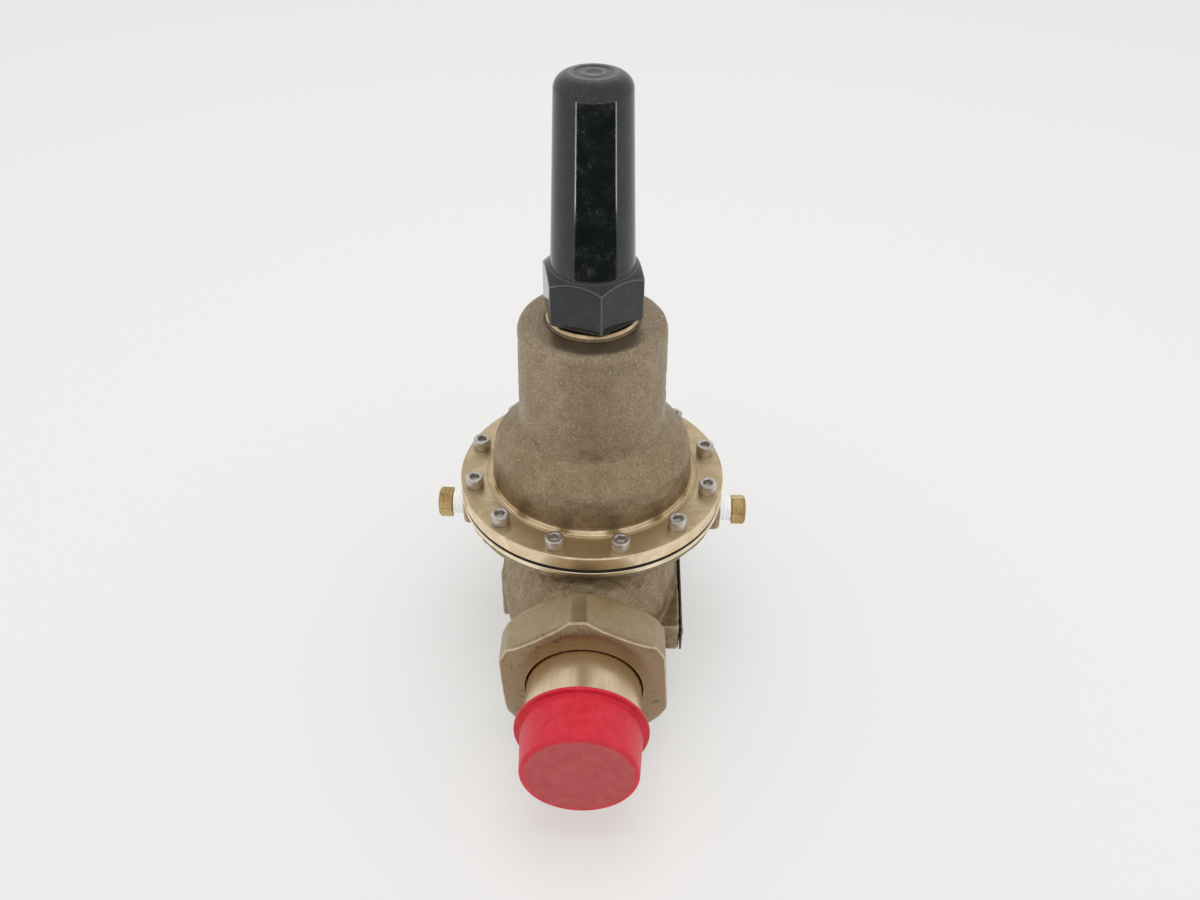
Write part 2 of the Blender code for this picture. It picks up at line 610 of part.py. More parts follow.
def cast_pad():
    """Low pad on the -X side with a raised flow arrow that points at the outlet."""
    middle = PIPE_Z - CAST_PAD_DROP
    inside = PAD_ROOT - PAD_X
    half = CAST_PAD_LENGTH / 2
    outline = [(inside, -half), (-PAD_X, -half), (-PAD_X, half), (inside, half)]
    pad = prism("cast_pad", outline, middle - CAST_PAD_HEIGHT / 2, middle + CAST_PAD_HEIGHT / 2,
                "cast_bronze", STEM_AXIS)
    neck = ARROW_TAIL - ARROW_HEAD
    arrow = [(-ARROW_SHAFT, -ARROW_TAIL), (ARROW_SHAFT, -ARROW_TAIL), (ARROW_SHAFT, neck),
             (ARROW_HEAD, neck), (0.0, ARROW_TIP), (-ARROW_HEAD, neck), (-ARROW_SHAFT, neck)]
    side = Matrix.Translation((-PAD_X, 0.0, middle)) @ Matrix.Rotation(-math.pi / 2, 4, "Y")
    join_on(pad, prism("arrow", arrow, -ROOT, ARROW_RAISE, "cast_bronze", side))
    return pad


def hollow_body(body):
    """Cuts the chambers, the pipe bores, the passages, the seat bore and the ports."""
    chamber_r = BARREL_R - BODY_WALL
    dish = BODY_TOP_Z - DISH_DEPTH
    upper = [(0.0, SEAT_WEB[1]), (chamber_r, SEAT_WEB[1]), (chamber_r, dish - DISH_SLOPE),
             (CLAMP_R - DISH_DRAFT, dish), (CLAMP_R, BODY_TOP_Z + OVERRUN), (0.0, BODY_TOP_Z + OVERRUN)]
    cut(body, turned("upper_chamber", upper, "cast_bronze", STEM_AXIS, FINE))
    plug_hole = hole(PLUG_THREAD_R, THREAD_PLAY, ROUND)
    lower = [(0.0, 0.0), (PLUG_COLLAR_R + GAP, 0.0), (PLUG_COLLAR_R + GAP, BODY_BOTTOM_Z),
             (plug_hole, BODY_BOTTOM_Z), (plug_hole, LOWER_FLOOR_Z), (LOWER_R, LOWER_FLOOR_Z),
             (LOWER_R, SEAT_WEB[0]), (0.0, SEAT_WEB[0])]
    cut(body, turned("lower_chamber", lower, "cast_bronze", STEM_AXIS))
    cut(body, rod("seat_bore", hole(SEAT_RING_R, THREAD_PLAY, ROUND), SEAT_WEB[0] - OVERRUN,
                  SEAT_WEB[1] + OVERRUN, "cast_bronze", STEM_AXIS))
    cut(body, rod("inlet_bore", PIPE_BORE_R, INLET_FACE_Y - OVERRUN, -DUCT_START, "cast_bronze",
                  PIPE_AXIS_TURNED, SMALL))
    cut(body, duct("inlet_duct", -1, (LOWER_FLOOR_Z + SEAT_WEB[0]) / 2 - INLET_MOUTH_DROP))
    cut(body, rod("outlet_bore", PIPE_BORE_R, DUCT_START, OUTLET_FACE_Y + OVERRUN, "cast_bronze",
                  PIPE_AXIS_TURNED, SMALL))
    cut(body, duct("outlet_duct", 1, SEAT_WEB[1] + DUCT_MOUTH[1] + OUTLET_MOUTH_RAISE))
    cut(body, rod("outlet_thread", OUTLET_THREAD_R, OUTLET_FACE_Y - OUTLET_THREAD,
                  OUTLET_FACE_Y + OVERRUN, "cast_bronze", PIPE_AXIS_TURNED))
    across = along("X", (0, 0, PORT_Z))
    port_r = hole(PLUG_SHANK_R, GAP + TAPE + GAP, SMALL)
    for side in (-1, 1):
        bottom = PORT_FACE_X - PORT_DEPTH - GAP
        cut(body, rod("port", port_r, side * bottom, side * (PORT_FACE_X + OVERRUN), "cast_bronze",
                      across, SMALL))
        cut(body, rod("port_drill", PLUG_SHANK_R / 2, side * (chamber_r - BODY_WALL),
                      side * (bottom + OVERRUN), "cast_bronze", across, TINY))


def bonnet_outline():
    """Outside of the bonnet from the clamped face up to the neck, then its inside back down."""
    face = FLANGE_FACE_Z
    top = BONNET_TOP_Z
    tower_top_r = TOWER_R - TOWER_DRAFT
    outside = [
        (FLANGE_R - EDGE, BONNET_BASE_Z), (FLANGE_R, BONNET_BASE_Z + EDGE), (FLANGE_R, face - EDGE),
        (FLANGE_R - EDGE, face), (BELL_R + BELL_STEP, face), (BELL_R, face + BELL_FOOT),
    ]
    shoulder = curve((BELL_R - BELL_DRAFT, face + BELL_HEIGHT), (BELL_R - BELL_DRAFT, face + SHOULDER_PULL_Z),
                     (SHOULDER_R, face + SHOULDER_Z), 2)
    crease = curve((TOWER_R + CREASE_FLARE, face + CREASE_Z - CREASE_BELOW), (TOWER_R, face + CREASE_Z),
                   (TOWER_R, face + CREASE_Z + CREASE_ABOVE), 2)
    crown = arc((tower_top_r - TOP_FILLET, top - TOP_FILLET), TOP_FILLET, 0, 90, 3)
    neck = [(SEAT_BOSS_R, top), (SEAT_BOSS_R, top + SEAT_BOSS), (NECK_R, top + SEAT_BOSS),
            (NECK_R, NECK_TOP_Z - EDGE), (NECK_R - EDGE, NECK_TOP_Z)]
    bore = hole(ADJUSTER_R, RUNNING, SMALL)
    wall = BONNET_WALL
    inside = [
        (bore, NECK_TOP_Z), (bore, CEILING_Z), (TOWER_INNER_R, CEILING_Z),
        (TOWER_R - wall, face + CREASE_Z + CREASE_ABOVE), (TOWER_R - wall + BELL_DRAFT, face + CREASE_Z),
        (SHOULDER_R - wall, face + SHOULDER_Z), (BELL_R - BELL_DRAFT - wall, face + BELL_HEIGHT),
        (BELL_R - wall, face), (CLAMP_R, BONNET_BASE_Z + BODY_RIM), (CLAMP_R, BONNET_BASE_Z),
    ]
    return outside + shoulder + crease + crown + neck + inside


def curve(start, pull, end, count):
    """Points of a quadratic curve from start to end, pulled towards a third point."""
    points = []
    for index in range(count + 1):
        t = index / count
        points.append(tuple((1 - t) ** 2 * a + 2 * t * (1 - t) * b + t * t * c
                            for a, b, c in zip(start, pull, end)))
    return points


def make_bonnet():
    bonnet = turned("bonnet", bonnet_outline(), "cast_bronze", STEM_AXIS, FINE)
    cut_screw_holes(bonnet, SCREW_R + SCREW_HOLE_PLAY, BONNET_BASE_Z - OVERRUN, FLANGE_FACE_Z + OVERRUN)
    return bonnet


def make_flange_screws():
    """Socket head cap screws, all on one shared mesh."""
    under_head = FLANGE_FACE_Z + GAP / 3
    profile = [(0.0, -SCREW_LENGTH), (SCREW_R - SCREW_POINT, -SCREW_LENGTH),
               (SCREW_R, SCREW_POINT - SCREW_LENGTH), (SCREW_R, 0.0), (HEAD_R, 0.0),
               (HEAD_R, HEAD_HEIGHT - EDGE), (HEAD_R - EDGE, HEAD_HEIGHT), (0.0, HEAD_HEIGHT)]
    pattern = turned("screw_pattern", profile, "stainless", STEM_AXIS, TINY)
    cut(pattern, prism("socket", hexagon(SOCKET_FLATS, SOCKET_TURN), HEAD_HEIGHT - SOCKET_DEPTH,
                       HEAD_HEIGHT + OVERRUN, "stainless", STEM_AXIS))
    for number, angle in enumerate(screw_angles(), 1):
        centre = (SCREW_CIRCLE_R * math.cos(angle), SCREW_CIRCLE_R * math.sin(angle), under_head)
        add_object(f"flange_screw_{number:02d}", pattern.data, "stainless", along("Z", centre, angle))
    bpy.data.objects.remove(pattern, do_unlink=True)


def make_diaphragm():
    """Fabric-reinforced disc: clamped rim, one shallow convolution and a flat middle."""
    rim = BODY_TOP_Z + GAP
    edge = FLANGE_R - DIAPHRAGM_INSET
    inner = hole(STEM_END_R, RUNNING, SMALL)
    turn_r = CLAMP_R - CONVOLUTION_RUN
    profile = [(inner, MIDDLE_Z), (CONVOLUTION_R, MIDDLE_Z), (turn_r, rim), (edge, rim),
               (edge, rim + DIAPHRAGM), (turn_r - CONVOLUTION_LEAN, rim + DIAPHRAGM),
               (CONVOLUTION_R - CONVOLUTION_LEAN, MIDDLE_Z + DIAPHRAGM), (inner, MIDDLE_Z + DIAPHRAGM)]
    diaphragm = turned("diaphragm", profile, "black_rubber", STEM_AXIS, FINE)
    cut_screw_holes(diaphragm, SCREW_R + SCREW_HOLE_PLAY, BODY_TOP_Z - OVERRUN, BONNET_BASE_Z + OVERRUN)


def make_stem():
    """Stem with a shoulder under the diaphragm stack; its lower end runs in the bottom plug."""
    shoulder_top = WASHER_BASE_Z - GAP
    nut_top = PLATE_TOP_Z + GAP + STEM_NUT
    step = HOLDER_BASE_Z - GAP
    thread_top = DISC_NUT_TOP_Z + STEM_THREAD_SPARE
    stud_top = nut_top + STEM_STUD
    profile = [(0.0, STEM_BOTTOM_Z), (STEM_END_R - EDGE, STEM_BOTTOM_Z), (STEM_END_R, STEM_BOTTOM_Z + EDGE),
               (STEM_END_R, step - STEM_COLLAR), (STEM_COLLAR_R, step - STEM_COLLAR), (STEM_COLLAR_R, step),
               (STEM_END_R, step), (STEM_END_R, thread_top), (STEM_R, thread_top + CHAMFER),
               (STEM_R, shoulder_top - STEM_SHOULDER),
               (STEM_SHOULDER_R, shoulder_top - STEM_SHOULDER + STEM_SHOULDER_TAPER),
               (STEM_SHOULDER_R, shoulder_top), (STEM_END_R, shoulder_top),
               (STEM_END_R, stud_top - EDGE), (STEM_END_R - EDGE, stud_top), (0.0, stud_top)]
    turned("stem", profile, "stainless", STEM_AXIS, SMALL)


def make_diaphragm_stack():
    """Pressure plate above the diaphragm, washer below it and the nut that clamps them."""
    bore = hole(STEM_END_R, RUNNING, SMALL)
    lip_inner = SPRING_R + WIRE_R + GAP
    plate = [(bore, PLATE_BASE_Z), (PLATE_R - CHAMFER, PLATE_BASE_Z), (PLATE_R, PLATE_BASE_Z + CHAMFER),
             (PLATE_R, PLATE_TOP_Z - CHAMFER), (PLATE_R - CHAMFER, PLATE_TOP_Z),
             (lip_inner + PLATE_LIP_WALL, PLATE_TOP_Z), (lip_inner + PLATE_LIP_WALL, PLATE_TOP_Z + PLATE_LIP),
             (lip_inner, PLATE_TOP_Z + PLATE_LIP), (lip_inner, PLATE_TOP_Z), (bore, PLATE_TOP_Z)]
    turned("diaphragm_plate", plate, "cast_bronze", STEM_AXIS, SMALL)
    washer = [(bore, WASHER_BASE_Z), (WASHER_R - CHAMFER, WASHER_BASE_Z),
              (WASHER_R, WASHER_BASE_Z + CHAMFER), (WASHER_R, WASHER_BASE_Z + WASHER),
              (bore, WASHER_BASE_Z + WASHER)]
    turned("diaphragm_washer", washer, "machined_brass", STEM_AXIS, SMALL)
    hex_nut("stem_nut", STEM_NUT_FLATS, STEM_END_R, PLATE_TOP_Z + GAP, STEM_NUT, "stainless")


def hex_nut(name, flats, thread_r, base, height, finish):
    """A hexagon nut on the stem axis, its corners chamfered on both faces."""
    nut = prism(name, hexagon(flats), base, base + height, finish, STEM_AXIS)
    corner = across_corners(flats)
    drop = NUT_CHAMFER * (corner - flats / 2)
    top = base + height
    chamfer = [(0.0, base - GAP), (flats / 2 - GAP, base - GAP), (corner + GAP, base + drop),
               (corner + GAP, top - drop), (flats / 2 - GAP, top + GAP), (0.0, top + GAP)]
    keep_inside(nut, turned(name + "_chamfer", chamfer, finish, STEM_AXIS_TURNED, SMALL))
    cut(nut, rod(name + "_bore", hole(thread_r, RUNNING, SMALL), base - OVERRUN, top + OVERRUN,
                 finish, STEM_AXIS_TURNED, SMALL))


def make_seat_ring():
    """Threaded seat ring: collar on the web, raised lip facing down at the disc."""
    collar_base = SEAT_WEB[1] + GAP
    lip_r = SEAT_BORE_R + SEAT_LIP_WALL
    profile = [(SEAT_BORE_R, SEAT_LIP_Z), (lip_r, SEAT_LIP_Z), (lip_r + SEAT_LIP, SEAT_LIP_Z + SEAT_LIP),
               (SEAT_RING_R, SEAT_LIP_Z + SEAT_LIP + EDGE), (SEAT_RING_R, collar_base),
               (SEAT_COLLAR_R, collar_base), (SEAT_COLLAR_R, collar_base + SEAT_COLLAR),
               (SEAT_BORE_R, collar_base + SEAT_COLLAR)]
    turned("seat_ring", profile, "stainless", STEM_AXIS)


def make_disc_stack():
    """Disc holder, rubber disc, retainer and nut on the lower end of the stem."""
    bore = hole(STEM_END_R, RUNNING, SMALL)
    pocket = DISC_R + GAP
    holder = [(bore, HOLDER_BASE_Z), (HOLDER_R - HOLDER_CHAMFER, HOLDER_BASE_Z),
              (HOLDER_R, HOLDER_BASE_Z + HOLDER_CHAMFER), (HOLDER_R, HOLDER_TOP_Z), (pocket, HOLDER_TOP_Z),
              (pocket, HOLDER_BASE_Z + HOLDER_FLOOR), (bore, HOLDER_BASE_Z + HOLDER_FLOOR)]
    turned("disc_holder", holder, "machined_brass", STEM_AXIS, SMALL)
    tube("valve_disc", bore, DISC_R, DISC_TOP_Z - DISC, DISC_TOP_Z, "black_rubber", STEM_AXIS, SMALL)
    tube("disc_retainer", bore, RETAINER_R, DISC_TOP_Z + GAP, DISC_TOP_Z + GAP + RETAINER, "stainless",
         STEM_AXIS, SMALL)
    hex_nut("disc_nut", DISC_NUT_FLATS, STEM_END_R, DISC_TOP_Z + 2 * GAP + RETAINER, DISC_NUT, "stainless")


def make_bottom_plug():
    """Hexagon plug that closes the lower chamber, guides the stem and seats the strainer."""
    plug = prism("bottom_plug", hexagon(PLUG_HEX_FLATS, math.pi / 6), 0.0, PLUG_HEX + OVERRUN,
                 "plug_brass", STEM_AXIS)
    corner = across_corners(PLUG_HEX_FLATS)
    chamfer = [(0.0, -GAP), (corner - PLUG_CORNER, -GAP), (corner + GAP, PLUG_CORNER),
               (corner + GAP, PLUG_HEX + ROOT), (0.0, PLUG_HEX + ROOT)]
    keep_inside(plug, turned("plug_corners", chamfer, "plug_brass", STEM_AXIS_TURNED))
    bore = hole(STEM_END_R, RUNNING, SMALL)
    blind = STEM_BOTTOM_Z - STEM_END_ROOM
    stepped = [(0.0, PLUG_HEX), (PLUG_COLLAR_R, PLUG_HEX), (PLUG_COLLAR_R, PLUG_COLLAR_TOP_Z),
               (PLUG_THREAD_R, PLUG_COLLAR_TOP_Z), (PLUG_THREAD_R, POCKET_FLOOR_Z),
               (GUIDE_R + GUIDE_FOOT[0], POCKET_FLOOR_Z), (GUIDE_R, POCKET_FLOOR_Z + GUIDE_FOOT[1]),
               (GUIDE_R, GUIDE_TOP_Z), (bore, GUIDE_TOP_Z), (bore, blind), (0.0, blind)]
    join_on(plug, turned("plug_thread", stepped, "plug_brass", STEM_AXIS))
    tube("bottom_gasket", hole(PLUG_THREAD_R, THREAD_PLAY, ROUND), PLUG_COLLAR_R, PLUG_COLLAR_TOP_Z + GAP,
         PLUG_COLLAR_TOP_Z + GAP + PLUG_GASKET, "black_rubber", STEM_AXIS)


def make_strainer():
    """Slotted screen round the disc, held between the plug and the seat web."""
    base = POCKET_FLOOR_Z + GAP
    top = SEAT_WEB[0] - GAP
    outer = PLUG_THREAD_R - GAP
    screen = tube("strainer_screen", outer - STRAINER_WALL, outer, base, top, "stainless", STEM_AXIS)
    width, height = STRAINER_SLOT
    middle = (base + top) / 2
    for index in range(STRAINER_SLOTS // 2):
        angle = (index + 0.5) * 2 * math.pi / STRAINER_SLOTS
        slot = [(-2 * outer, -width / 2), (2 * outer, -width / 2), (2 * outer, width / 2),
                (-2 * outer, width / 2)]
        cut(screen, prism("slot", slot, middle - height / 2, middle + height / 2, "stainless",
                          along("Z", (0, 0, 0), angle)))


def spring_path():
    """Centre line of the spring: one closed turn at each end and an even pitch between them."""
    low = PLATE_TOP_Z + GAP + WIRE_R
    high = BUTTON_BASE_Z - GAP - WIRE_R
    closed = 2 * WIRE_R + GAP
    free_turns = SPRING_TURNS - 2.0
    pitch = (high - low - 2 * closed) / free_turns
    points = []
    for index in range(int(SPRING_TURNS * SPRING_STEPS) + 1):
        turn = index / SPRING_STEPS
        angle = 2 * math.pi * turn
        first = closed * min(turn, 1.0)
        middle = pitch * min(max(turn - 1.0, 0.0), free_turns)
        last = closed * max(turn - 1.0 - free_turns, 0.0)
        points.append((SPRING_R * math.cos(angle), SPRING_R * math.sin(angle), low + first + middle + last))
    return points


def make_spring():
    """Range spring between the diaphragm plate and the spring button."""
    data = bpy.data.curves.new("range_spring", "CURVE")
    data.dimensions = "3D"
    data.bevel_depth = WIRE_R
    data.bevel_resolution = 1
    data.use_fill_caps = True
    points = spring_path()
    spline = data.splines.new("POLY")
    spline.points.add(len(points) - 1)
    for point, place in zip(spline.points, points):
        point.co = (*place, 1.0)
    data.materials.append(finish_material("spring_steel"))
    spring = bpy.data.objects.new("range_spring", data)
    bpy.context.scene.collection.objects.link(spring)


def make_spring_button():
    """Button on top of the spring with a dimple for the tip of the adjusting screw."""
    boss_r = SPRING_R - WIRE_R - BUTTON_BOSS_PLAY
    boss_base = BUTTON_BASE_Z - BUTTON_BOSS
    rim_r = TOWER_INNER_R - BUTTON_SIDE_PLAY
    dimple_r = ADJUSTER_R + GAP
    profile = [(0.0, boss_base), (boss_r - CHAMFER, boss_base), (boss_r, boss_base + CHAMFER),
               (boss_r, BUTTON_BASE_Z), (rim_r, BUTTON_BASE_Z), (rim_r, BUTTON_TOP_Z - CHAMFER),
               (rim_r - CHAMFER, BUTTON_TOP_Z), (dimple_r, BUTTON_TOP_Z), (dimple_r, BUTTON_TOP_Z - DIMPLE),
               (0.0, BUTTON_TOP_Z - DIMPLE)]
    turned("spring_button", profile, "spring_steel", STEM_AXIS, SMALL)


def make_adjusting_screw():
    """Long screw with a square head; turning it moves the spring button."""
    tip = BUTTON_TOP_Z - DIMPLE + GAP
    top = tip + ADJUSTER_LENGTH
    square_base = top - ADJUSTER_SQUARE_LENGTH
    profile = [(0.0, tip), (ADJUSTER_R - TIP_CHAMFER, tip), (ADJUSTER_R, tip + TIP_CHAMFER),
               (ADJUSTER_R, square_base), (0.0, square_base)]
    screw = turned("adjusting_screw", profile, "machined_brass", STEM_AXIS, SMALL)
    half = ADJUSTER_SQUARE / 2
    square = [(-half, -half), (half, -half), (half, half), (-half, half)]
    join_on(screw, prism("square", square, square_base - ROOT, top, "machined_brass", STEM_AXIS))
    hex_nut("lock_nut", LOCK_NUT_FLATS, ADJUSTER_R, NECK_TOP_Z + GAP, LOCK_NUT, "plug_brass")


def make_sealing_cap():
    """Tall plastic cap over the adjusting screw, with a hexagon foot."""
    place = along("Z", (0, 0, 0), CAP_TURN - math.pi / 2)
    flats = 2 * CAP_HEX_CORNER_R * math.cos(math.pi / 6)
    hex_top = CAP_BASE_Z + CAP_HEX
    hex_edge = CAP_HEX_CORNER_R + GAP
    tube_base = hex_top + CAP_CHAMFER
    top = CAP_BASE_Z + CAP_HEIGHT
    foot_in, foot_up = CAP_FOOT_CHAMFER
    cap = prism("sealing_cap", hexagon(flats), CAP_BASE_Z, tube_base, "black_plastic", place)
    chamfer = [(0.0, CAP_BASE_Z - GAP), (CAP_HEX_CORNER_R - foot_in, CAP_BASE_Z - GAP),
               (hex_edge, CAP_BASE_Z + foot_up), (hex_edge, hex_top), (CAP_TUBE_R, tube_base - EDGE),
               (0.0, tube_base - EDGE)]
    keep_inside(cap, turned("cap_chamfer", chamfer, "black_plastic", place))
    crown = arc((CAP_TOP_R - CAP_FILLET, top - CAP_FILLET), CAP_FILLET, 0, 90, 4)
    shell = [(0.0, hex_top - ROOT), (CAP_TUBE_R, hex_top - ROOT), (CAP_TUBE_R, tube_base)] + crown
    join_on(cap, turned("cap_tube", shell + [(0.0, top)], "black_plastic", place))
    neck_hole = hole(NECK_R, THREAD_PLAY, SMALL)
    bore = CAP_TOP_R - CAP_WALL
    inside = [(0.0, CAP_BASE_Z - OVERRUN), (neck_hole, CAP_BASE_Z - OVERRUN), (neck_hole, hex_top),
              (CAP_TUBE_R - CAP_WALL - CHAMFER, tube_base), (bore, top - CAP_FILLET),
              (bore - CAP_CROWN, top - CAP_WALL), (0.0, top - CAP_WALL)]
    cut(cap, turned("cap_inside", inside, "black_plastic", place, SMALL))
    base = BONNET_TOP_Z + SEAT_BOSS + GAP
    tube("cap_gasket", hole(NECK_R, THREAD_PLAY, ROUND), SEAT_BOSS_R - CAP_GASKET, base,
         base + CAP_GASKET, "black_rubber", STEM_AXIS)


def make_union():
    """Tailpiece, captive hexagon nut and gasket on the inlet."""
    gasket_high = INLET_FACE_Y - GAP
    tube("union_gasket", TAIL_BORE_R, TAIL_SHOULDER_R - GASKET_INSET, gasket_high - UNION_GASKET,
         gasket_high, "black_rubber", PIPE_AXIS_TURNED)
    thread_r = TAIL_R - TAIL_THREAD_DROP
    end_r = thread_r - TAIL_TAPER
    tail = [(TAIL_BORE_R, SHOULDER_BACK_Y), (TAIL_SHOULDER_R, SHOULDER_BACK_Y),
            (TAIL_SHOULDER_R, SHOULDER_FRONT_Y), (TAIL_R, SHOULDER_FRONT_Y), (TAIL_R, TAIL_THREAD_Y),
            (thread_r, TAIL_THREAD_Y - EDGE), (end_r, TAIL_END_Y + CHAMFER), (end_r - CHAMFER, TAIL_END_Y),
            (TAIL_BORE_R, TAIL_END_Y)]
    turned("union_tailpiece", tail, "machined_brass", PIPE_AXIS_TURNED)
    nut = prism("union_nut", hexagon(NUT_FLATS, math.pi / 2 + NUT_TURN), NUT_FRONT_Y, NUT_BACK_Y,
                "nut_bronze", PIPE_AXIS)
    corner = across_corners(NUT_FLATS)
    face_r = corner - NUT_CORNER_CUT - (corner - NUT_FLATS / 2) / 2
    edge_r = corner - NUT_CORNER_TRIM
    chamfer = [(0.0, NUT_FRONT_Y - GAP), (face_r, NUT_FRONT_Y - GAP), (edge_r, NUT_FRONT_Y + NUT_CORNER_CUT),
               (edge_r, NUT_BACK_Y - NUT_CORNER_CUT), (face_r, NUT_BACK_Y + GAP), (0.0, NUT_BACK_Y + GAP)]
    keep_inside(nut, turned("nut_chamfer", chamfer, "nut_bronze", PIPE_AXIS_TURNED, FINE))
    cut(nut, rod("nut_bore", TAIL_R + NUT_LIP_PLAY, NUT_FRONT_Y - OVERRUN, NUT_BACK_Y, "nut_bronze",
                 PIPE_AXIS_TURNED))
    cut(nut, rod("nut_thread", hole(INLET_THREAD_R, THREAD_PLAY, ROUND), NUT_FRONT_Y + NUT_LIP,
                 NUT_BACK_Y + OVERRUN, "nut_bronze", PIPE_AXIS_TURNED))


def make_thread_protector():
    """Soft tapered cap pushed over the tailpiece thread."""
    mouth, end = PROTECTOR_MOUTH_Y, PROTECTOR_END_Y
    thread_r = TAIL_R - TAIL_THREAD_DROP + PROTECTOR_MOUTH_PLAY
    root = TAIL_R + PROTECTOR_WALL
    deep = thread_r - TAIL_TAPER
    mouth_r = hole(TAIL_R, PROTECTOR_MOUTH_PLAY / 2, ROUND)
    flat_r = PROTECTOR_END_R - PROTECTOR_CORNER
    corner = arc((flat_r, end + PROTECTOR_CORNER), PROTECTOR_CORNER, 0, -90, 4)
    inside = [(0.0, end + PROTECTOR_END_WALL), (flat_r, end + PROTECTOR_END_WALL),
              (deep - CHAMFER, end + PROTECTOR_CORNER), (deep, TAIL_END_Y), (thread_r, TAIL_THREAD_Y - EDGE),
              (mouth_r, TAIL_THREAD_Y)]
    outside = [(mouth_r, mouth), (PROTECTOR_RIM_R, mouth), (PROTECTOR_RIM_R, mouth - PROTECTOR_RIM),
               (root, mouth - PROTECTOR_RIM)]
    turned("thread_protector", inside + outside + corner + [(0.0, end)], "red_plastic", PIPE_AXIS_TURNED)


def make_gauge_plugs():
    """Hexagon plugs wrapped in thread tape, one in each gauge port."""
    for name, side, turn in (("left", -1, math.radians(19)), ("right", 1, math.radians(7))):
        place = along("X", (0, 0, PORT_Z), turn)
        facets = along("X", (0, 0, PORT_Z), turn + OFF_CORNER)
        start = side * (PORT_FACE_X - PORT_DEPTH)
        back = side * (PORT_FACE_X + PLUG_STANDOFF)
        face = back + side * PORT_PLUG_HEX
        plug = prism(f"gauge_plug_{name}", hexagon(PORT_PLUG_FLATS), back, face, "plug_brass", place)
        corner = across_corners(PORT_PLUG_FLATS)
        edge_in, edge_back = PORT_PLUG_CORNER
        chamfer = [(0.0, back - side * GAP), (corner + GAP, back - side * GAP),
                   (corner + GAP, face - side * edge_back), (corner - edge_in, face + side * GAP),
                   (0.0, face + side * GAP)]
        keep_inside(plug, turned("plug_face", chamfer, "plug_brass", facets, SMALL))
        join_on(plug, rod("plug_shank", PLUG_SHANK_R, start, back + side * OVERRUN, "plug_brass", facets,
                          SMALL))
        tape_inner = hole(PLUG_SHANK_R, GAP / 2, SMALL)
        tube(f"thread_tape_{name}", tape_inner, tape_inner + TAPE, start + side * TAPE_START,
             back - side * GAP, "white_tape", facets, SMALL)


def make_name_plate():
    """Blank plate on the pad with two drive pins."""
    low = PIPE_Z - PAD_HEIGHT / 2 + PLATE_MARGIN / 2
    high = PIPE_Z + PAD_HEIGHT / 2
    back = PAD_X + GAP
    front = back + PLATE_THICKNESS
    start_y = PAD_FRONT_Y - PLATE_MARGIN / 4
    end_y = PAD_BACK_Y - PLATE_MARGIN
    outline = [(back, start_y), (front, start_y), (front, end_y), (back, end_y)]
    plate = prism("name_plate", outline, low, high, "name_plate", STEM_AXIS)
    body = bpy.data.objects["body"]
    under = front + GAP
    hole_r = PIN_SHANK_R + GAP
    for number, y in enumerate((PAD_FRONT_Y + PIN_INSET, end_y - PIN_INSET), 1):
        across = along("X", (0, y, PIPE_Z))
        cut(plate, rod("pin_hole", hole_r, PAD_X, front + OVERRUN, "stainless", across, TINY))
        cut(body, rod("pin_bore", hole_r, PAD_X - PIN_LENGTH - GAP, PAD_X + OVERRUN, "stainless", across,
                      TINY))
        profile = [(0.0, PAD_X - PIN_LENGTH), (PIN_SHANK_R, PAD_X - PIN_LENGTH), (PIN_SHANK_R, under),
                   (PIN_HEAD_R, under), (PIN_HEAD_R - PIN_CROWN, under + PIN_HEAD), (0.0, under + PIN_HEAD)]
        turned(f"plate_pin_{number}", profile, "stainless", across, TINY)


def main():
    clear_scene()
    make_body()
    make_bonnet()
    make_flange_screws()
    make_diaphragm()
    make_stem()
    make_diaphragm_stack()
    make_seat_ring()
    make_disc_stack()
    make_bottom_plug()
    make_strainer()
    make_spring()
    make_spring_button()
    make_adjusting_screw()
    make_sealing_cap()
    make_union()
    make_thread_protector()
    make_gauge_plugs()
    make_name_plate()


main()
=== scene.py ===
"""Looks of the pressure reducing valve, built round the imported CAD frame.

Shapes are written in millimetres in the row frame and become metres when a mesh is made.
+Z runs up the stem axis, the inlet union faces -Y.
"""

import math

import bmesh
import bpy
import numpy as np
from mathutils import Matrix, Vector


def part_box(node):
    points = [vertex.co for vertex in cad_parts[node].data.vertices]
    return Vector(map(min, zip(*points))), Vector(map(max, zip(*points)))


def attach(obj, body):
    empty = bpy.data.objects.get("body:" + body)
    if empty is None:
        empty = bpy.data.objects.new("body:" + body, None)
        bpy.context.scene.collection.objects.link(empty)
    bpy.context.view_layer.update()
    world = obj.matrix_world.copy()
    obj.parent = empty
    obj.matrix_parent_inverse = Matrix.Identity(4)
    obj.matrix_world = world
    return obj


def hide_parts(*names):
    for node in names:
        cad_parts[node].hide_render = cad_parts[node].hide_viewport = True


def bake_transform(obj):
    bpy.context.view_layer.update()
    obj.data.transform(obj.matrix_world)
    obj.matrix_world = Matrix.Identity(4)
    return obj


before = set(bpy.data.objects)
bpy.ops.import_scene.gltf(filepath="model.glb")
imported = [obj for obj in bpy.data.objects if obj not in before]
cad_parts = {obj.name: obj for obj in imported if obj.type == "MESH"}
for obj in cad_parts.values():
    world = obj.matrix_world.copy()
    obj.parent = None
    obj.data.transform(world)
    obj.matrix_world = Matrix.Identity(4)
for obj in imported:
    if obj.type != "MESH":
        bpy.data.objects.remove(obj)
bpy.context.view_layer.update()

MM = 0.001
PIPE_Z = 53.5
PORT_Z = 86.0
FINE = 240
MEDIUM = 160
SMALL = 96
GAUGE_PLUG_HALF_FLATS = 7.5


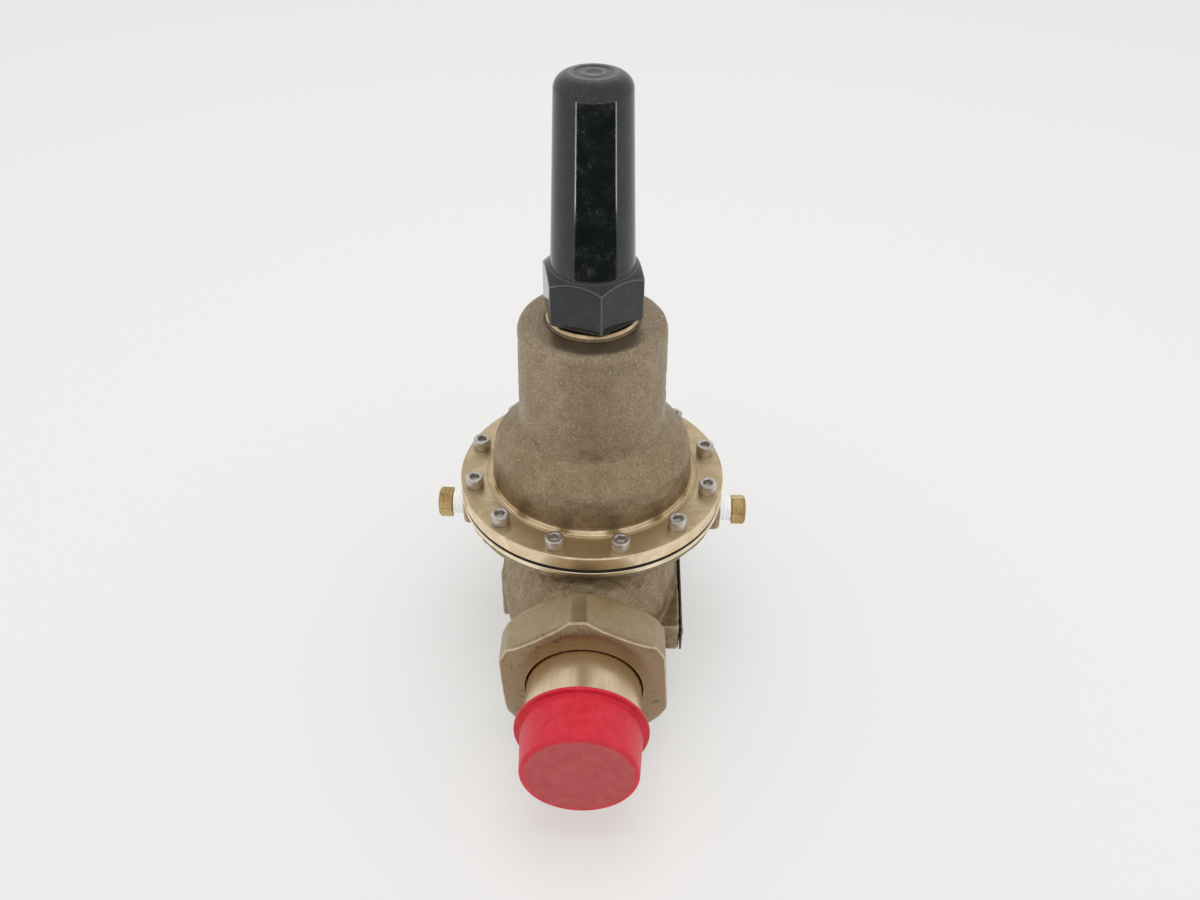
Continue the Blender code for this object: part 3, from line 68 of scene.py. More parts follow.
def place(axis, height=0.0):
    """Local +Z along a world axis, at a height on the stem axis, in millimetres."""
    tilt = {
        "Z": Matrix.Identity(4),
        "Y": Matrix.Rotation(-math.pi / 2, 4, "X"),
        "X": Matrix.Rotation(math.pi / 2, 4, "Y"),
    }[axis]
    return Matrix.Translation(Vector((0.0, 0.0, height))) @ tilt


STEM = place("Z")
PIPE = place("Y", PIPE_Z)
PORT = place("X", PORT_Z)


def node_span(name, axis):
    """Lowest and highest coordinate of a CAD node along an axis, in millimetres."""
    low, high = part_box(name)
    return low[axis] / MM, high[axis] / MM


# ---------------------------------------------------------------- mesh helpers


def new_object(name, verts, faces, where, materials, bands=None):
    """An object in metres from points in millimetres, shaded smooth across soft edges."""
    verts = np.asarray(verts, float)
    turn = np.array(where.to_3x3())
    shift = np.array(where.translation)
    verts = (verts @ turn.T + shift) * MM
    mesh = bpy.data.meshes.new(name)
    mesh.from_pydata(verts.tolist(), [], faces)
    for material in materials:
        mesh.materials.append(material)
    if bands is not None:
        mesh.polygons.foreach_set("material_index", np.asarray(bands, dtype=np.int32))
    bm = bmesh.new()
    bm.from_mesh(mesh)
    bmesh.ops.recalc_face_normals(bm, faces=bm.faces)
    bm.to_mesh(mesh)
    bm.free()
    mesh.shade_smooth()
    mesh.set_sharp_from_angle(angle=math.radians(38))
    obj = bpy.data.objects.new(name, mesh)
    bpy.context.scene.collection.objects.link(obj)
    return obj


def skin(name, rows, where, materials, theta, bands=None, closed=False, weighted=True):
    """Rows of (radius, height) round an axis, joined by quads.

    A radius is a number or one value per angle; a row of radius 0 at either end is a single point.
    With closed, the last row joins the first.  bands gives a material number to each strip.
    """
    count = len(theta)
    cosine, sine = np.cos(theta), np.sin(theta)
    points, starts = [], []
    total = 0
    for radius, height in rows:
        single = np.ndim(radius) == 0 and radius == 0.0
        if single:
            block = np.array([[0.0, 0.0, float(height)]])
        else:
            r = np.broadcast_to(np.asarray(radius, float), (count,))
            h = np.broadcast_to(np.asarray(height, float), (count,))
            block = np.stack([r * cosine, r * sine, h], axis=1)
        points.append(block)
        starts.append((total, single))
        total += len(block)
    faces, face_bands = [], []
    pairs = list(zip(starts, starts[1:]))
    if closed:
        pairs.append((starts[-1], starts[0]))
    for strip, ((a, a_single), (b, b_single)) in enumerate(pairs):
        band = bands[strip] if bands else 0
        for i in range(count):
            j = (i + 1) % count
            if a_single:
                faces.append((a, b + i, b + j))
            elif b_single:
                faces.append((a + i, a + j, b))
            else:
                faces.append((a + i, a + j, b + j, b + i))
            face_bands.append(band)
    obj = new_object(name, np.concatenate(points), faces, where, materials, face_bands)
    if weighted:
        obj.modifiers.new("normals", "WEIGHTED_NORMAL").keep_sharp = True
    return obj


def ring(count, turn=0.0):
    """Even angles round a turn."""
    return np.arange(count) * (2 * math.pi / count) + turn


def hex_angles(per_side, corner):
    """Angles round a turn that crowd towards a hexagon's corners."""
    t = np.linspace(-1.0, 1.0, per_side, endpoint=False)
    side = np.sin(t * math.pi / 2) * math.pi / 6
    return np.concatenate([side + corner + math.pi / 6 + k * math.pi / 3 for k in range(6)])


def soft_min(values, softness):
    """The smallest of several arrays, rounded where two of them meet."""
    stack = np.stack(np.broadcast_arrays(*values))
    low = stack.min(axis=0)
    return low - softness * np.log(np.exp(-(stack - low) / softness).sum(axis=0))


def hex_radius(theta, half_flats, corner, softness):
    """Radius of a hexagon with rounded corners, one corner at the given angle."""
    planes = []
    for k in range(6):
        cosine = np.cos(theta - corner - math.pi / 6 - k * math.pi / 3)
        planes.append(np.where(cosine > 0.2, half_flats / np.maximum(cosine, 0.2), 9e3))
    return soft_min(planes, softness)


def soften(profile, radius=0.4, count=3):
    """A profile whose corners are rounded; a third value on a point is its own radius."""
    points = [(p[0], p[1], p[2] if len(p) > 2 else radius) for p in profile]
    out = [points[0][:2]]
    for before, here, after in zip(points, points[1:], points[2:]):
        a, p, b = (np.array(q[:2], float) for q in (before, here, after))
        reach_a, reach_b = np.linalg.norm(a - p), np.linalg.norm(b - p)
        cut = min(here[2], 0.45 * reach_a, 0.45 * reach_b)
        if cut < 0.02:
            out.append(tuple(p))
            continue
        start = p + (a - p) / reach_a * cut
        end = p + (b - p) / reach_b * cut
        for k in range(count + 1):
            t = k / count
            out.append(tuple((1 - t) ** 2 * start + 2 * t * (1 - t) * p + t * t * end))
    out.append(points[-1][:2])
    return out


def split_long(profile, longest):
    """A profile with extra points on its long stretches."""
    out = [profile[0]]
    for a, b in zip(profile, profile[1:]):
        pieces = max(1, int(math.dist(a[:2], b[:2]) / longest))
        for k in range(1, pieces + 1):
            t = k / pieces
            out.append((a[0] + (b[0] - a[0]) * t, a[1] + (b[1] - a[1]) * t))
    return out


def lathe(name, profile, where, materials, steps=FINE, radius=0.4, closed=False, longest=None):
    """A turned piece from a profile of (radius, height), its corners rounded."""
    shape = list(profile)
    if closed:
        shape = shape + [shape[0]]
    shape = soften(shape, radius)
    if closed:
        shape = shape[:-1]
    if longest:
        shape = split_long(shape, longest)
    return skin(name, shape, where, materials, ring(steps), closed=closed)


WAVES = np.random.RandomState(7)
WAVE_DIRECTIONS = WAVES.normal(size=(24, 3))
WAVE_DIRECTIONS /= np.linalg.norm(WAVE_DIRECTIONS, axis=1)[:, None]
WAVE_PHASES = WAVES.uniform(0, 2 * math.pi, size=24)
WAVE_RATES = WAVES.uniform(0.6, 1.8, size=24)


def unevenness(points, length):
    """A smooth random field of about unit size whose bumps are about length across."""
    rate = WAVE_RATES * (2 * math.pi / length)
    field = np.sin((points @ WAVE_DIRECTIONS.T) * rate + WAVE_PHASES)
    return field.sum(axis=1) / math.sqrt(12)


def roughen(obj, amount, length):
    """Moves the points of a casting along their normals, in millimetres, never outwards past amount."""
    mesh = obj.data
    count = len(mesh.vertices)
    co = np.empty(count * 3)
    normal = np.empty(count * 3)
    mesh.vertices.foreach_get("co", co)
    mesh.vertex_normals.foreach_get("vector", normal)
    co, normal = co.reshape(-1, 3), normal.reshape(-1, 3)
    push = np.clip(unevenness(co / MM, length), -2.0, 1.0) - 1.0
    co = co + normal * (push * amount * MM)[:, None]
    mesh.vertices.foreach_set("co", co.ravel())
    mesh.update()


BEND_START = 0.04


def mark_edges_and_creases(obj, gain=1.0, rounds=2, crease_shade=0.0):
    """Stores how convex and how concave the surface is at each point, for worn edges, painted edge highlights
    and edge shade, and for painted shade in creases.
    """
    mesh = obj.data
    count = len(mesh.vertices)
    co = np.empty(count * 3)
    normal = np.empty(count * 3)
    mesh.vertices.foreach_get("co", co)
    mesh.vertex_normals.foreach_get("vector", normal)
    co, normal = co.reshape(-1, 3) / MM, normal.reshape(-1, 3)
    pairs = np.empty(len(mesh.edges) * 2, dtype=np.int64)
    mesh.edges.foreach_get("vertices", pairs)
    a, b = pairs.reshape(-1, 2).T
    along = co[a] - co[b]
    length = np.linalg.norm(along, axis=1) + 1e-6
    degree = np.bincount(a, minlength=count) + np.bincount(b, minlength=count)
    bend = np.bincount(a, (along * normal[a]).sum(1) / length ** 2, count)
    bend += np.bincount(b, -(along * normal[b]).sum(1) / length ** 2, count)
    bend = bend / np.maximum(degree, 1)
    for _ in range(rounds):
        total = np.bincount(a, bend[b], count) + np.bincount(b, bend[a], count)
        bend = (bend + total / np.maximum(degree, 1)) / 2
    for name, value in (("convexity", (bend - BEND_START) * gain), ("crease_shade", (-bend - BEND_START) * crease_shade)):
        store = mesh.attributes.new(name, "FLOAT", "POINT")
        store.data.foreach_set("value", np.clip(value, 0.0, 1.0).astype(np.float32))


def thread_drop(turns):
    """Depth of a 60 degree thread, from 0 on its crest to 1 in its root."""
    saw = np.abs((turns % 1.0) - 0.5) * 2
    return 1.0 - np.clip(1.3 * saw - 0.15, 0.0, 1.0)


def thread_rows(theta, radius_at, low, high, pitch, depth, per_pitch=7, inside=False):
    """Rows of a helical thread between two heights, fading out over the last turn at each end."""
    count = max(2, int((high - low) / pitch * per_pitch))
    rows = []
    for k in range(count + 1):
        h = low + (high - low) * k / count
        fade = np.clip(min(h - low, high - h) / pitch, 0.0, 1.0)
        drop = depth * fade * thread_drop(h / pitch - theta / (2 * math.pi))
        radius = radius_at(h)
        rows.append((radius + drop if inside else radius - drop, h))
    return rows


def piece(obj, body, slot, *nodes):
    """Rides the object on its body and hides the CAD nodes that it stands for; the slot is not used."""
    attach(obj, body)
    if nodes:
        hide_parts(*nodes)
    return obj


# ---------------------------------------------------------------- materials


class Shade:
    """A small builder for the node tree of one Principled material."""

    def __init__(self, name, metallic=0.0, roughness=0.5, **plain):
        self.material = bpy.data.materials.new(name)
        self.material.use_nodes = True
        self.tree = self.material.node_tree
        self.shader = self.tree.nodes["Principled BSDF"]
        self.shader.inputs["Metallic"].default_value = metallic
        self.shader.inputs["Roughness"].default_value = roughness
        for socket, value in plain.items():
            self.shader.inputs[socket.replace("_", " ")].default_value = value
        self.where = self.add("ShaderNodeTexCoord").outputs["Object"]

    def add(self, kind, **settings):
        node = self.tree.nodes.new(kind)
        for key, value in settings.items():
            setattr(node, key, value)
        return node

    def feed(self, socket, value):
        if isinstance(value, bpy.types.NodeSocket):
            self.tree.links.new(value, socket)
        else:
            socket.default_value = value

    def stretched(self, scale):
        """Object coordinates times a scale for each axis."""
        node = self.add("ShaderNodeVectorMath", operation="MULTIPLY")
        self.feed(node.inputs[0], self.where)
        node.inputs[1].default_value = scale
        return node.outputs[0]

    def noise(self, size, detail=3.0, roughness=0.55, vector=None, distortion=0.0):
        """Noise whose grains are about size millimetres across."""
        node = self.add("ShaderNodeTexNoise")
        self.feed(node.inputs["Vector"], vector or self.where)
        node.inputs["Scale"].default_value = 1.0 / (size * MM)
        node.inputs["Detail"].default_value = detail
        node.inputs["Roughness"].default_value = roughness
        node.inputs["Distortion"].default_value = distortion
        return node.outputs["Fac"]

    def cells(self, size, vector=None, feature="F1"):
        node = self.add("ShaderNodeTexVoronoi", feature=feature)
        self.feed(node.inputs["Vector"], vector or self.where)
        node.inputs["Scale"].default_value = 1.0 / (size * MM)
        return node.outputs["Distance"]

    def math(self, operation, a, b=0.0, clamp=False):
        node = self.add("ShaderNodeMath", operation=operation, use_clamp=clamp)
        self.feed(node.inputs[0], a)
        self.feed(node.inputs[1], b)
        return node.outputs[0]

    def spread(self, value, low, high, to_low=0.0, to_high=1.0):
        """A value from low to high, taken to another range and held there."""
        node = self.add("ShaderNodeMapRange")
        self.feed(node.inputs["Value"], value)
        node.inputs["From Min"].default_value = low
        node.inputs["From Max"].default_value = high
        node.inputs["To Min"].default_value = to_low
        node.inputs["To Max"].default_value = to_high
        return node.outputs["Result"]

    def mix(self, share, a, b, blend="MIX"):
        node = self.add("ShaderNodeMix", data_type="RGBA", blend_type=blend)
        self.feed(node.inputs["Factor"], share)
        self.feed(node.inputs[6], (*a, 1.0) if isinstance(a, tuple) else a)
        self.feed(node.inputs[7], (*b, 1.0) if isinstance(b, tuple) else b)
        return node.outputs[2]

    def attribute(self, name):
        node = self.add("ShaderNodeAttribute", attribute_name=name)
        return node.outputs["Fac"]

    def round_axis(self, axis, centre=(0.0, 0.0, 0.0)):
        """Distance from an axis through centre, in metres."""
        shifted = self.add("ShaderNodeVectorMath", operation="SUBTRACT")
        self.feed(shifted.inputs[0], self.where)
        shifted.inputs[1].default_value = centre
        flat = self.add("ShaderNodeVectorMath", operation="MULTIPLY")
        self.feed(flat.inputs[0], shifted.outputs[0])
        flat.inputs[1].default_value = {"X": (0, 1, 1), "Y": (1, 0, 1), "Z": (1, 1, 0)}[axis]
        length = self.add("ShaderNodeVectorMath", operation="LENGTH")
        self.feed(length.inputs[0], flat.outputs[0])
        return length.outputs["Value"]

    def along_axis(self, axis):
        split = self.add("ShaderNodeSeparateXYZ")
        self.feed(split.inputs[0], self.where)
        return split.outputs[axis]

    def vector(self, x, y=0.0, z=0.0):
        join = self.add("ShaderNodeCombineXYZ")
        for socket, value in zip(join.inputs, (x, y, z)):
            self.feed(socket, value)
        return join.outputs[0]

    def bump(self, height, depth, strength=1.0, under=None):
        """A bump of depth millimetres."""
        node = self.add("ShaderNodeBump")
        node.inputs["Distance"].default_value = depth * MM
        node.inputs["Strength"].default_value = strength
        self.feed(node.inputs["Height"], height)
        if under is not None:
            self.feed(node.inputs["Normal"], under)
        return node.outputs[0]

    def finish(self, colour=None, roughness=None, normal=None):
        if colour is not None:
            self.feed(self.shader.inputs["Base Color"], colour)
        if roughness is not None:
            self.feed(self.shader.inputs["Roughness"], roughness)
        if normal is not None:
            self.feed(self.shader.inputs["Normal"], normal)
        return self.material


def cast_metal(name, dark, base, light, worn, grain=1.15, depth=0.20, rough=(0.38, 0.60), front=None):
    """Sand-cast bronze: blotches, sandy grain with bright specks that are partly painted glints, worn edges,
    painted shade in creases, and optionally a browner front that is partly painted shade.
    """
    s = Shade(name, metallic=1.0)
    blotch = s.noise(26.0, 4.0, 0.6)
    patch = s.noise(6.0, 3.0, 0.6)
    sand = s.noise(grain, 3.0, 0.75)
    pits = s.cells(grain * 1.5)
    tone = s.math("ADD", s.math("MULTIPLY", blotch, 0.6), s.math("MULTIPLY", patch, 0.4))
    colour = s.mix(s.spread(tone, 0.36, 0.64), dark, base)
    # partly painted glints: the lightest sand grains are mixed towards the light colour, on top of the real
    # grain tone
    colour = s.mix(s.spread(sand, 0.54, 0.72, 0.0, 0.65), colour, light)
    colour = s.mix(s.spread(sand, 0.46, 0.30, 0.0, 0.5), colour, tuple(c * 0.5 for c in dark))
    # painted shade: darker in creases and hollows, where shade falls
    colour = s.mix(s.attribute("crease_shade"), colour, tuple(c * 0.42 for c in dark))
    # partly real pitting, partly painted shade: faces in front of the given plane turn a darker pitted brown,
    # darker than the nut's top
    if front:
        tint, start, end = front
        pits = s.spread(s.noise(2.2, 4.0, 0.7), 0.54, 0.64)
        pitted = s.math("MULTIPLY", pits, s.spread(blotch, 0.50, 0.60))
        brown = s.mix(pitted, tint, tuple(c * 0.5 for c in tint))
        colour = s.mix(s.spread(s.along_axis("Y"), start * MM, end * MM), colour, brown)
    convexity = s.math("MULTIPLY", s.attribute("convexity"), s.spread(patch, 0.3, 0.6, 0.45, 1.0), clamp=True)
    colour = s.mix(convexity, colour, worn)
    roughness = s.spread(sand, 0.3, 0.7, rough[1], rough[0])
    roughness = s.math("SUBTRACT", roughness, s.math("MULTIPLY", convexity, 0.14))
    height = s.math("ADD", s.math("MULTIPLY", sand, 0.7), s.math("MULTIPLY", pits, 0.45))
    normal = s.bump(height, depth, 0.8)
    normal = s.bump(patch, 0.35, 0.35, normal)
    return s.finish(colour, roughness, normal)


def turned_metal(name, base, light, stain, axis, centre=(0.0, 0.0, 0.0), rough=0.25, lines=0.16, edges=None):
    """Machined metal with fine turning lines round an axis and uneven stain; given edges, its convex edges
    are painted darker as shade.
    """
    s = Shade(name, metallic=1.0)
    radius = s.round_axis(axis, centre)
    height = s.along_axis(axis)
    marks = s.noise(lines, 2.0, 0.7, s.vector(radius, height, 0.0))
    broad = s.noise(1.6, 2.0, 0.6, s.vector(radius, height, 0.0))
    blotch = s.noise(14.0, 5.0, 0.65, distortion=0.6)
    fine = s.noise(1.2, 3.0, 0.6)
    colour = s.mix(s.spread(blotch, 0.42, 0.62), stain, base)
    colour = s.mix(s.spread(broad, 0.5, 0.75, 0.0, 0.45), colour, light)
    colour = s.mix(s.spread(fine, 0.58, 0.8, 0.0, 0.35), colour, stain)
    # painted shade: convex edges darken to the edges colour
    if edges:
        colour = s.mix(s.attribute("convexity"), colour, edges)
    roughness = s.spread(blotch, 0.35, 0.65, rough + 0.12, rough)
    roughness = s.math("ADD", roughness, s.spread(marks, 0.3, 0.7, -0.04, 0.05))
    normal = s.bump(marks, 0.012, 0.7)
    normal = s.bump(fine, 0.01, 0.5, normal)
    return s.finish(colour, roughness, normal)


BRONZE_DARK = (0.265, 0.195, 0.118)
BRONZE = (0.385, 0.298, 0.193)
# light colour of the sand specks, which are partly painted glints
BRONZE_LIGHT = (0.56, 0.47, 0.33)
BRONZE_WORN = (0.78, 0.66, 0.46)

cast_bronze = cast_metal("cast_bronze", BRONZE_DARK, BRONZE, BRONZE_LIGHT, BRONZE_WORN)
tower_bronze = cast_metal(
    "tower_bronze", (0.29, 0.22, 0.145), (0.385, 0.305, 0.21), (0.62, 0.53, 0.40), BRONZE_WORN
)
# front tints the nut's front face darker brown: partly pitting, partly painted shade
nut_bronze = cast_metal(
    "nut_bronze", (0.36, 0.275, 0.165), (0.425, 0.335, 0.21), (0.48, 0.385, 0.25), (0.97, 0.88, 0.68),
    grain=1.0, depth=0.05, rough=(0.32, 0.46), front=((0.33, 0.232, 0.140), -103.8, -105.6),
)
flange_metal = turned_metal("flange_metal", (0.66, 0.53, 0.345), (0.74, 0.61, 0.42),
                            (0.54, 0.42, 0.26), "Z", rough=0.33)
rim_metal = turned_metal("rim_metal", (0.70, 0.54, 0.34), (0.86, 0.72, 0.50), (0.50, 0.36, 0.21), "Z",
                         rough=0.26)
# painted highlight: a near-white copy of the machined brass for the body's outer rim, brighter than the
# flange top's brass
highlit_rim_metal = turned_metal("highlit_rim_metal", (0.96, 0.87, 0.68), (0.98, 0.92, 0.78), (0.80, 0.66, 0.45), "Z",
                        rough=0.26)
# painted highlight: a brighter copy of flange_metal for the bonnet flange's side and the bell's foot ring
highlit_edge_metal = turned_metal("highlit_edge_metal", (0.92, 0.75, 0.52), (0.98, 0.86, 0.66), (0.74, 0.58, 0.38), "Z",
                          rough=0.24)
inlet_metal = turned_metal("inlet_metal", (0.70, 0.56, 0.36), (0.88, 0.74, 0.52), (0.48, 0.36, 0.21), "Y",
                           (0.0, 0.0, PIPE_Z * MM))
screw_steel = turned_metal("screw_steel", (0.72, 0.69, 0.66), (0.92, 0.90, 0.87), (0.50, 0.46, 0.42),
                           "Z", rough=0.26)
inner_steel = turned_metal("inner_steel", (0.58, 0.57, 0.55), (0.74, 0.73, 0.71), (0.44, 0.43, 0.41),
                           "Z", rough=0.24)
inner_brass = turned_metal("inner_brass", (0.70, 0.55, 0.32), (0.86, 0.70, 0.44), (0.50, 0.38, 0.20), "Z")
# edges paints dark lines of shade along the plug hexagon's edges
plug_brass = turned_metal("plug_brass", (0.64, 0.46, 0.21), (0.88, 0.70, 0.38), (0.40, 0.26, 0.10), "X",
                          (0.0, 0.0, PORT_Z * MM), rough=0.17, edges=(0.10, 0.055, 0.02))
foot_brass = turned_metal("foot_brass", (0.66, 0.49, 0.24), (0.82, 0.64, 0.36), (0.46, 0.33, 0.16), "Z")


def tail_material():
    """Pale brass tube with faint streaks along it and a brown stain."""
    s = Shade("tail_brass", metallic=1.0)
    streaks = s.noise(1.1, 3.0, 0.6, s.stretched((1.0, 0.05, 1.0)))
    wide = s.noise(7.0, 4.0, 0.6, s.stretched((1.0, 0.25, 1.0)))
    spots = s.noise(2.2, 4.0, 0.6)
    colour = s.mix(s.spread(wide, 0.34, 0.66), (0.70, 0.54, 0.35), (0.80, 0.65, 0.45))
    colour = s.mix(s.spread(streaks, 0.5, 0.75, 0.0, 0.3), colour, (0.90, 0.78, 0.58))
    colour = s.mix(s.spread(spots, 0.62, 0.78, 0.0, 0.4), colour, (0.46, 0.32, 0.18))
    roughness = s.spread(wide, 0.35, 0.65, 0.36, 0.24)
    marks = s.noise(0.22, 2.0, 0.6, s.vector(s.along_axis("Y")))
    normal = s.bump(marks, 0.010, 0.6)
    normal = s.bump(streaks, 0.012, 0.6, normal)
    return s.finish(colour, roughness, normal)


def black_plastic_material():
    """Glossy black moulding with a faint ripple, dust, a few scuffs and painted highlights on its convex
    edges.
    """
    s = Shade("black_plastic", IOR=1.52)
    ripple = s.noise(3.2, 2.0, 0.5)
    dust = s.noise(0.45, 2.0, 0.6)
    field = s.noise(9.0, 3.0, 0.6)
    scratch = s.noise(0.5, 3.0, 0.7, s.stretched((1.0, 1.0, 0.16)), distortion=0.8)
    specks = s.math("MULTIPLY", s.spread(dust, 0.63, 0.70), s.spread(field, 0.46, 0.62))
    scuffs = s.math("MULTIPLY", s.spread(scratch, 0.60, 0.68), s.spread(field, 0.52, 0.62))
    marks = s.math("MAXIMUM", s.math("MULTIPLY", specks, 0.4), s.math("MULTIPLY", scuffs, 0.3))
    base = s.mix(s.spread(field, 0.3, 0.7), (0.0075, 0.0095, 0.0105), (0.012, 0.0145, 0.0155))
    colour = s.mix(marks, base, (0.30, 0.31, 0.31))
    # painted highlight: convex edges, such as the hexagon's chamfer arcs, turn lighter grey
    convexity = s.math("MULTIPLY", s.attribute("convexity"), s.spread(dust, 0.35, 0.6, 0.5, 1.0), clamp=True)
    colour = s.mix(convexity, colour, (0.22, 0.23, 0.23))
    roughness = s.math("ADD", s.spread(field, 0.3, 0.7, 0.06, 0.11), s.math("MULTIPLY", marks, 0.5))
    normal = s.bump(ripple, 0.010, 0.2)
    normal = s.bump(dust, 0.004, 0.25, normal)
    return s.finish(colour, roughness, normal)


def red_plastic_material():
    """Soft red cap: deeper at the rim, paler and blotchy on the closed end, where the paler pink is a painted
    sheen.
    """
    s = Shade("red_plastic", Specular_IOR_Level=0.35)
    place_y = s.along_axis("Y")
    blotch = s.noise(7.0, 4.0, 0.6, distortion=0.4)
    fine = s.noise(1.0, 3.0, 0.6)
    # painted sheen: end masks the closed end's flat face, which takes the paler greyish-pink colour below
    end = s.math("MULTIPLY", s.spread(place_y, -0.1598, -0.1608),
                 s.spread(s.round_axis("Y", (0.0, 0.0, PIPE_Z * MM)), 0.0276, 0.0258))
    colour = s.mix(s.spread(blotch, 0.35, 0.65), (0.57, 0.010, 0.024), (0.65, 0.024, 0.046))
    end_sheen = s.mix(s.spread(blotch, 0.30, 0.70), (0.44, 0.045, 0.052), (0.50, 0.080, 0.084))
    colour = s.mix(end, colour, end_sheen)
    colour = s.mix(s.spread(fine, 0.62, 0.8, 0.0, 0.25), colour, (0.78, 0.34, 0.36))
    roughness = s.math("ADD", s.spread(fine, 0.3, 0.7, 0.34, 0.48), s.math("MULTIPLY", end, 0.08))
    normal = s.bump(blotch, 0.25, 0.3)
    normal = s.bump(fine, 0.03, 0.4, normal)
    return s.finish(colour, roughness, normal)


def tape_material():
    """White thread tape with thin overlapping folds and a faint painted glow."""
    s = Shade("white_tape", roughness=0.55)
    # painted light: the tape glows faintly so it looks brighter in the flange's shadow
    s.shader.inputs["Emission Color"].default_value = (1.0, 1.0, 1.0, 1.0)
    s.shader.inputs["Emission Strength"].default_value = 0.12
    folds = s.noise(0.5, 3.0, 0.65, s.stretched((1.0, 0.22, 0.22)))
    cloudy = s.noise(3.0, 3.0, 0.6)
    colour = s.mix(s.spread(folds, 0.35, 0.65), (0.93, 0.94, 0.95), (0.99, 0.99, 0.99))
    colour = s.mix(s.spread(cloudy, 0.5, 0.7, 0.0, 0.25), colour, (0.86, 0.84, 0.80))
    return s.finish(colour, s.spread(folds, 0.3, 0.7, 0.45, 0.65), s.bump(folds, 0.08, 0.7))


def rubber_material():
    s = Shade("black_rubber", Specular_IOR_Level=0.25)
    grain = s.noise(0.6, 3.0, 0.6)
    weave = s.noise(3.0, 3.0, 0.6)
    colour = s.mix(s.spread(weave, 0.35, 0.65), (0.010, 0.008, 0.007), (0.026, 0.022, 0.018))
    return s.finish(colour, s.spread(grain, 0.3, 0.7, 0.6, 0.82), s.bump(grain, 0.04, 0.6))


def plate_material():
    """Dark painted plate, worn to metal at its edges."""
    s = Shade("name_plate", metallic=0.0, roughness=0.35)
    fine = s.noise(0.8, 3.0, 0.6)
    cloud = s.noise(9.0, 3.0, 0.6)
    colour = s.mix(s.spread(cloud, 0.35, 0.65), (0.012, 0.012, 0.013), (0.032, 0.031, 0.030))
    convexity = s.math("MULTIPLY", s.attribute("convexity"), s.spread(fine, 0.45, 0.7), clamp=True)
    colour = s.mix(convexity, colour, (0.40, 0.37, 0.32))
    return s.finish(colour, s.spread(fine, 0.3, 0.7, 0.28, 0.45), s.bump(fine, 0.015, 0.5))


def spring_material():
    s = Shade("spring_steel", metallic=1.0)
    grain = s.noise(0.7, 3.0, 0.6)
    cloud = s.noise(8.0, 4.0, 0.6)
    colour = s.mix(s.spread(cloud, 0.35, 0.65), (0.20, 0.21, 0.23), (0.38, 0.39, 0.41))
    colour = s.mix(s.spread(grain, 0.6, 0.78, 0.0, 0.5), colour, (0.30, 0.20, 0.13))
    return s.finish(colour, s.spread(grain, 0.3, 0.7, 0.32, 0.5), s.bump(grain, 0.02, 0.6))


tail_brass = tail_material()
black_plastic = black_plastic_material()
red_plastic = red_plastic_material()
white_tape = tape_material()
black_rubber = rubber_material()
name_plate_paint = plate_material()
spring_steel = spring_material()


# ---------------------------------------------------------------- body casting


def closed_turn(profile, where, steps=96):
    """A turned solid, for the casting's rough union, as an unlinked mesh object."""
    return skin("blank", soften(profile, 0.6), where, [cast_bronze], ring(steps), weighted=False)


def block(low, high):
    """A plain block for the casting's rough union; remeshing rounds it."""
    (x0, y0, z0), (x1, y1, z1) = low, high
    verts = [(x, y, z) for z in (z0, z1) for y in (y0, y1) for x in (x0, x1)]
    faces = [(0, 2, 3, 1), (4, 5, 7, 6), (0, 1, 5, 4), (2, 6, 7, 3), (0, 4, 6, 2), (1, 3, 7, 5)]
    return new_object("blank", verts, faces, STEM, [cast_bronze])


def outline_block(outline, low, high, where):
    """A flat outline pulled between two heights, for the casting's rough union."""
    count = len(outline)
    verts = [(x, y, low) for x, y in outline] + [(x, y, high) for x, y in outline]
    faces = [tuple(range(count)), tuple(range(count, 2 * count))]
    faces += [(i, (i + 1) % count, count + (i + 1) % count, count + i) for i in range(count)]
    return new_object("blank", verts, faces, where, [cast_bronze])


def join_objects(parts):
    """Joins objects' meshes into the first one."""
    bm = bmesh.new()
    for part in parts:
        mesh = part.data
        mesh.transform(part.matrix_world)
        bm.from_mesh(mesh)
    first = parts[0]
    bm.to_mesh(first.data)
    bm.free()
    for part in parts[1:]:
        bpy.data.objects.remove(part, do_unlink=True)
    return first


def apply_modifiers(obj):
    """Turns an object's modifiers into its mesh."""
    bpy.context.view_layer.update()
    graph = bpy.context.evaluated_depsgraph_get()
    mesh = bpy.data.meshes.new_from_object(obj.evaluated_get(graph))
    obj.modifiers.clear()
    obj.data = mesh
    return obj


def bezier(start, pull, end, count):
    points = []
    for k in range(count + 1):
        t = k / count
        points.append(tuple((1 - t) ** 2 * a + 2 * t * (1 - t) * b + t * t * c
                            for a, b, c in zip(start, pull, end)))
    return points


def arc(centre, radius, start, stop, count):
    angles = np.radians(np.linspace(start, stop, count + 1))
    return [(centre[0] + radius * math.cos(a), centre[1] + radius * math.sin(a)) for a in angles]


FLANGE_R = 73.9
RIM_Z = 100.8
BODY_TOP = 103.6
BARREL_R = 50.2
BODY_BOTTOM = 17.0
NECK_R = 35.5
PAD_X = 50.5
TRUNK_R = 50.0
TRUNK_DEPTH = 36.0
VOXEL = 0.85


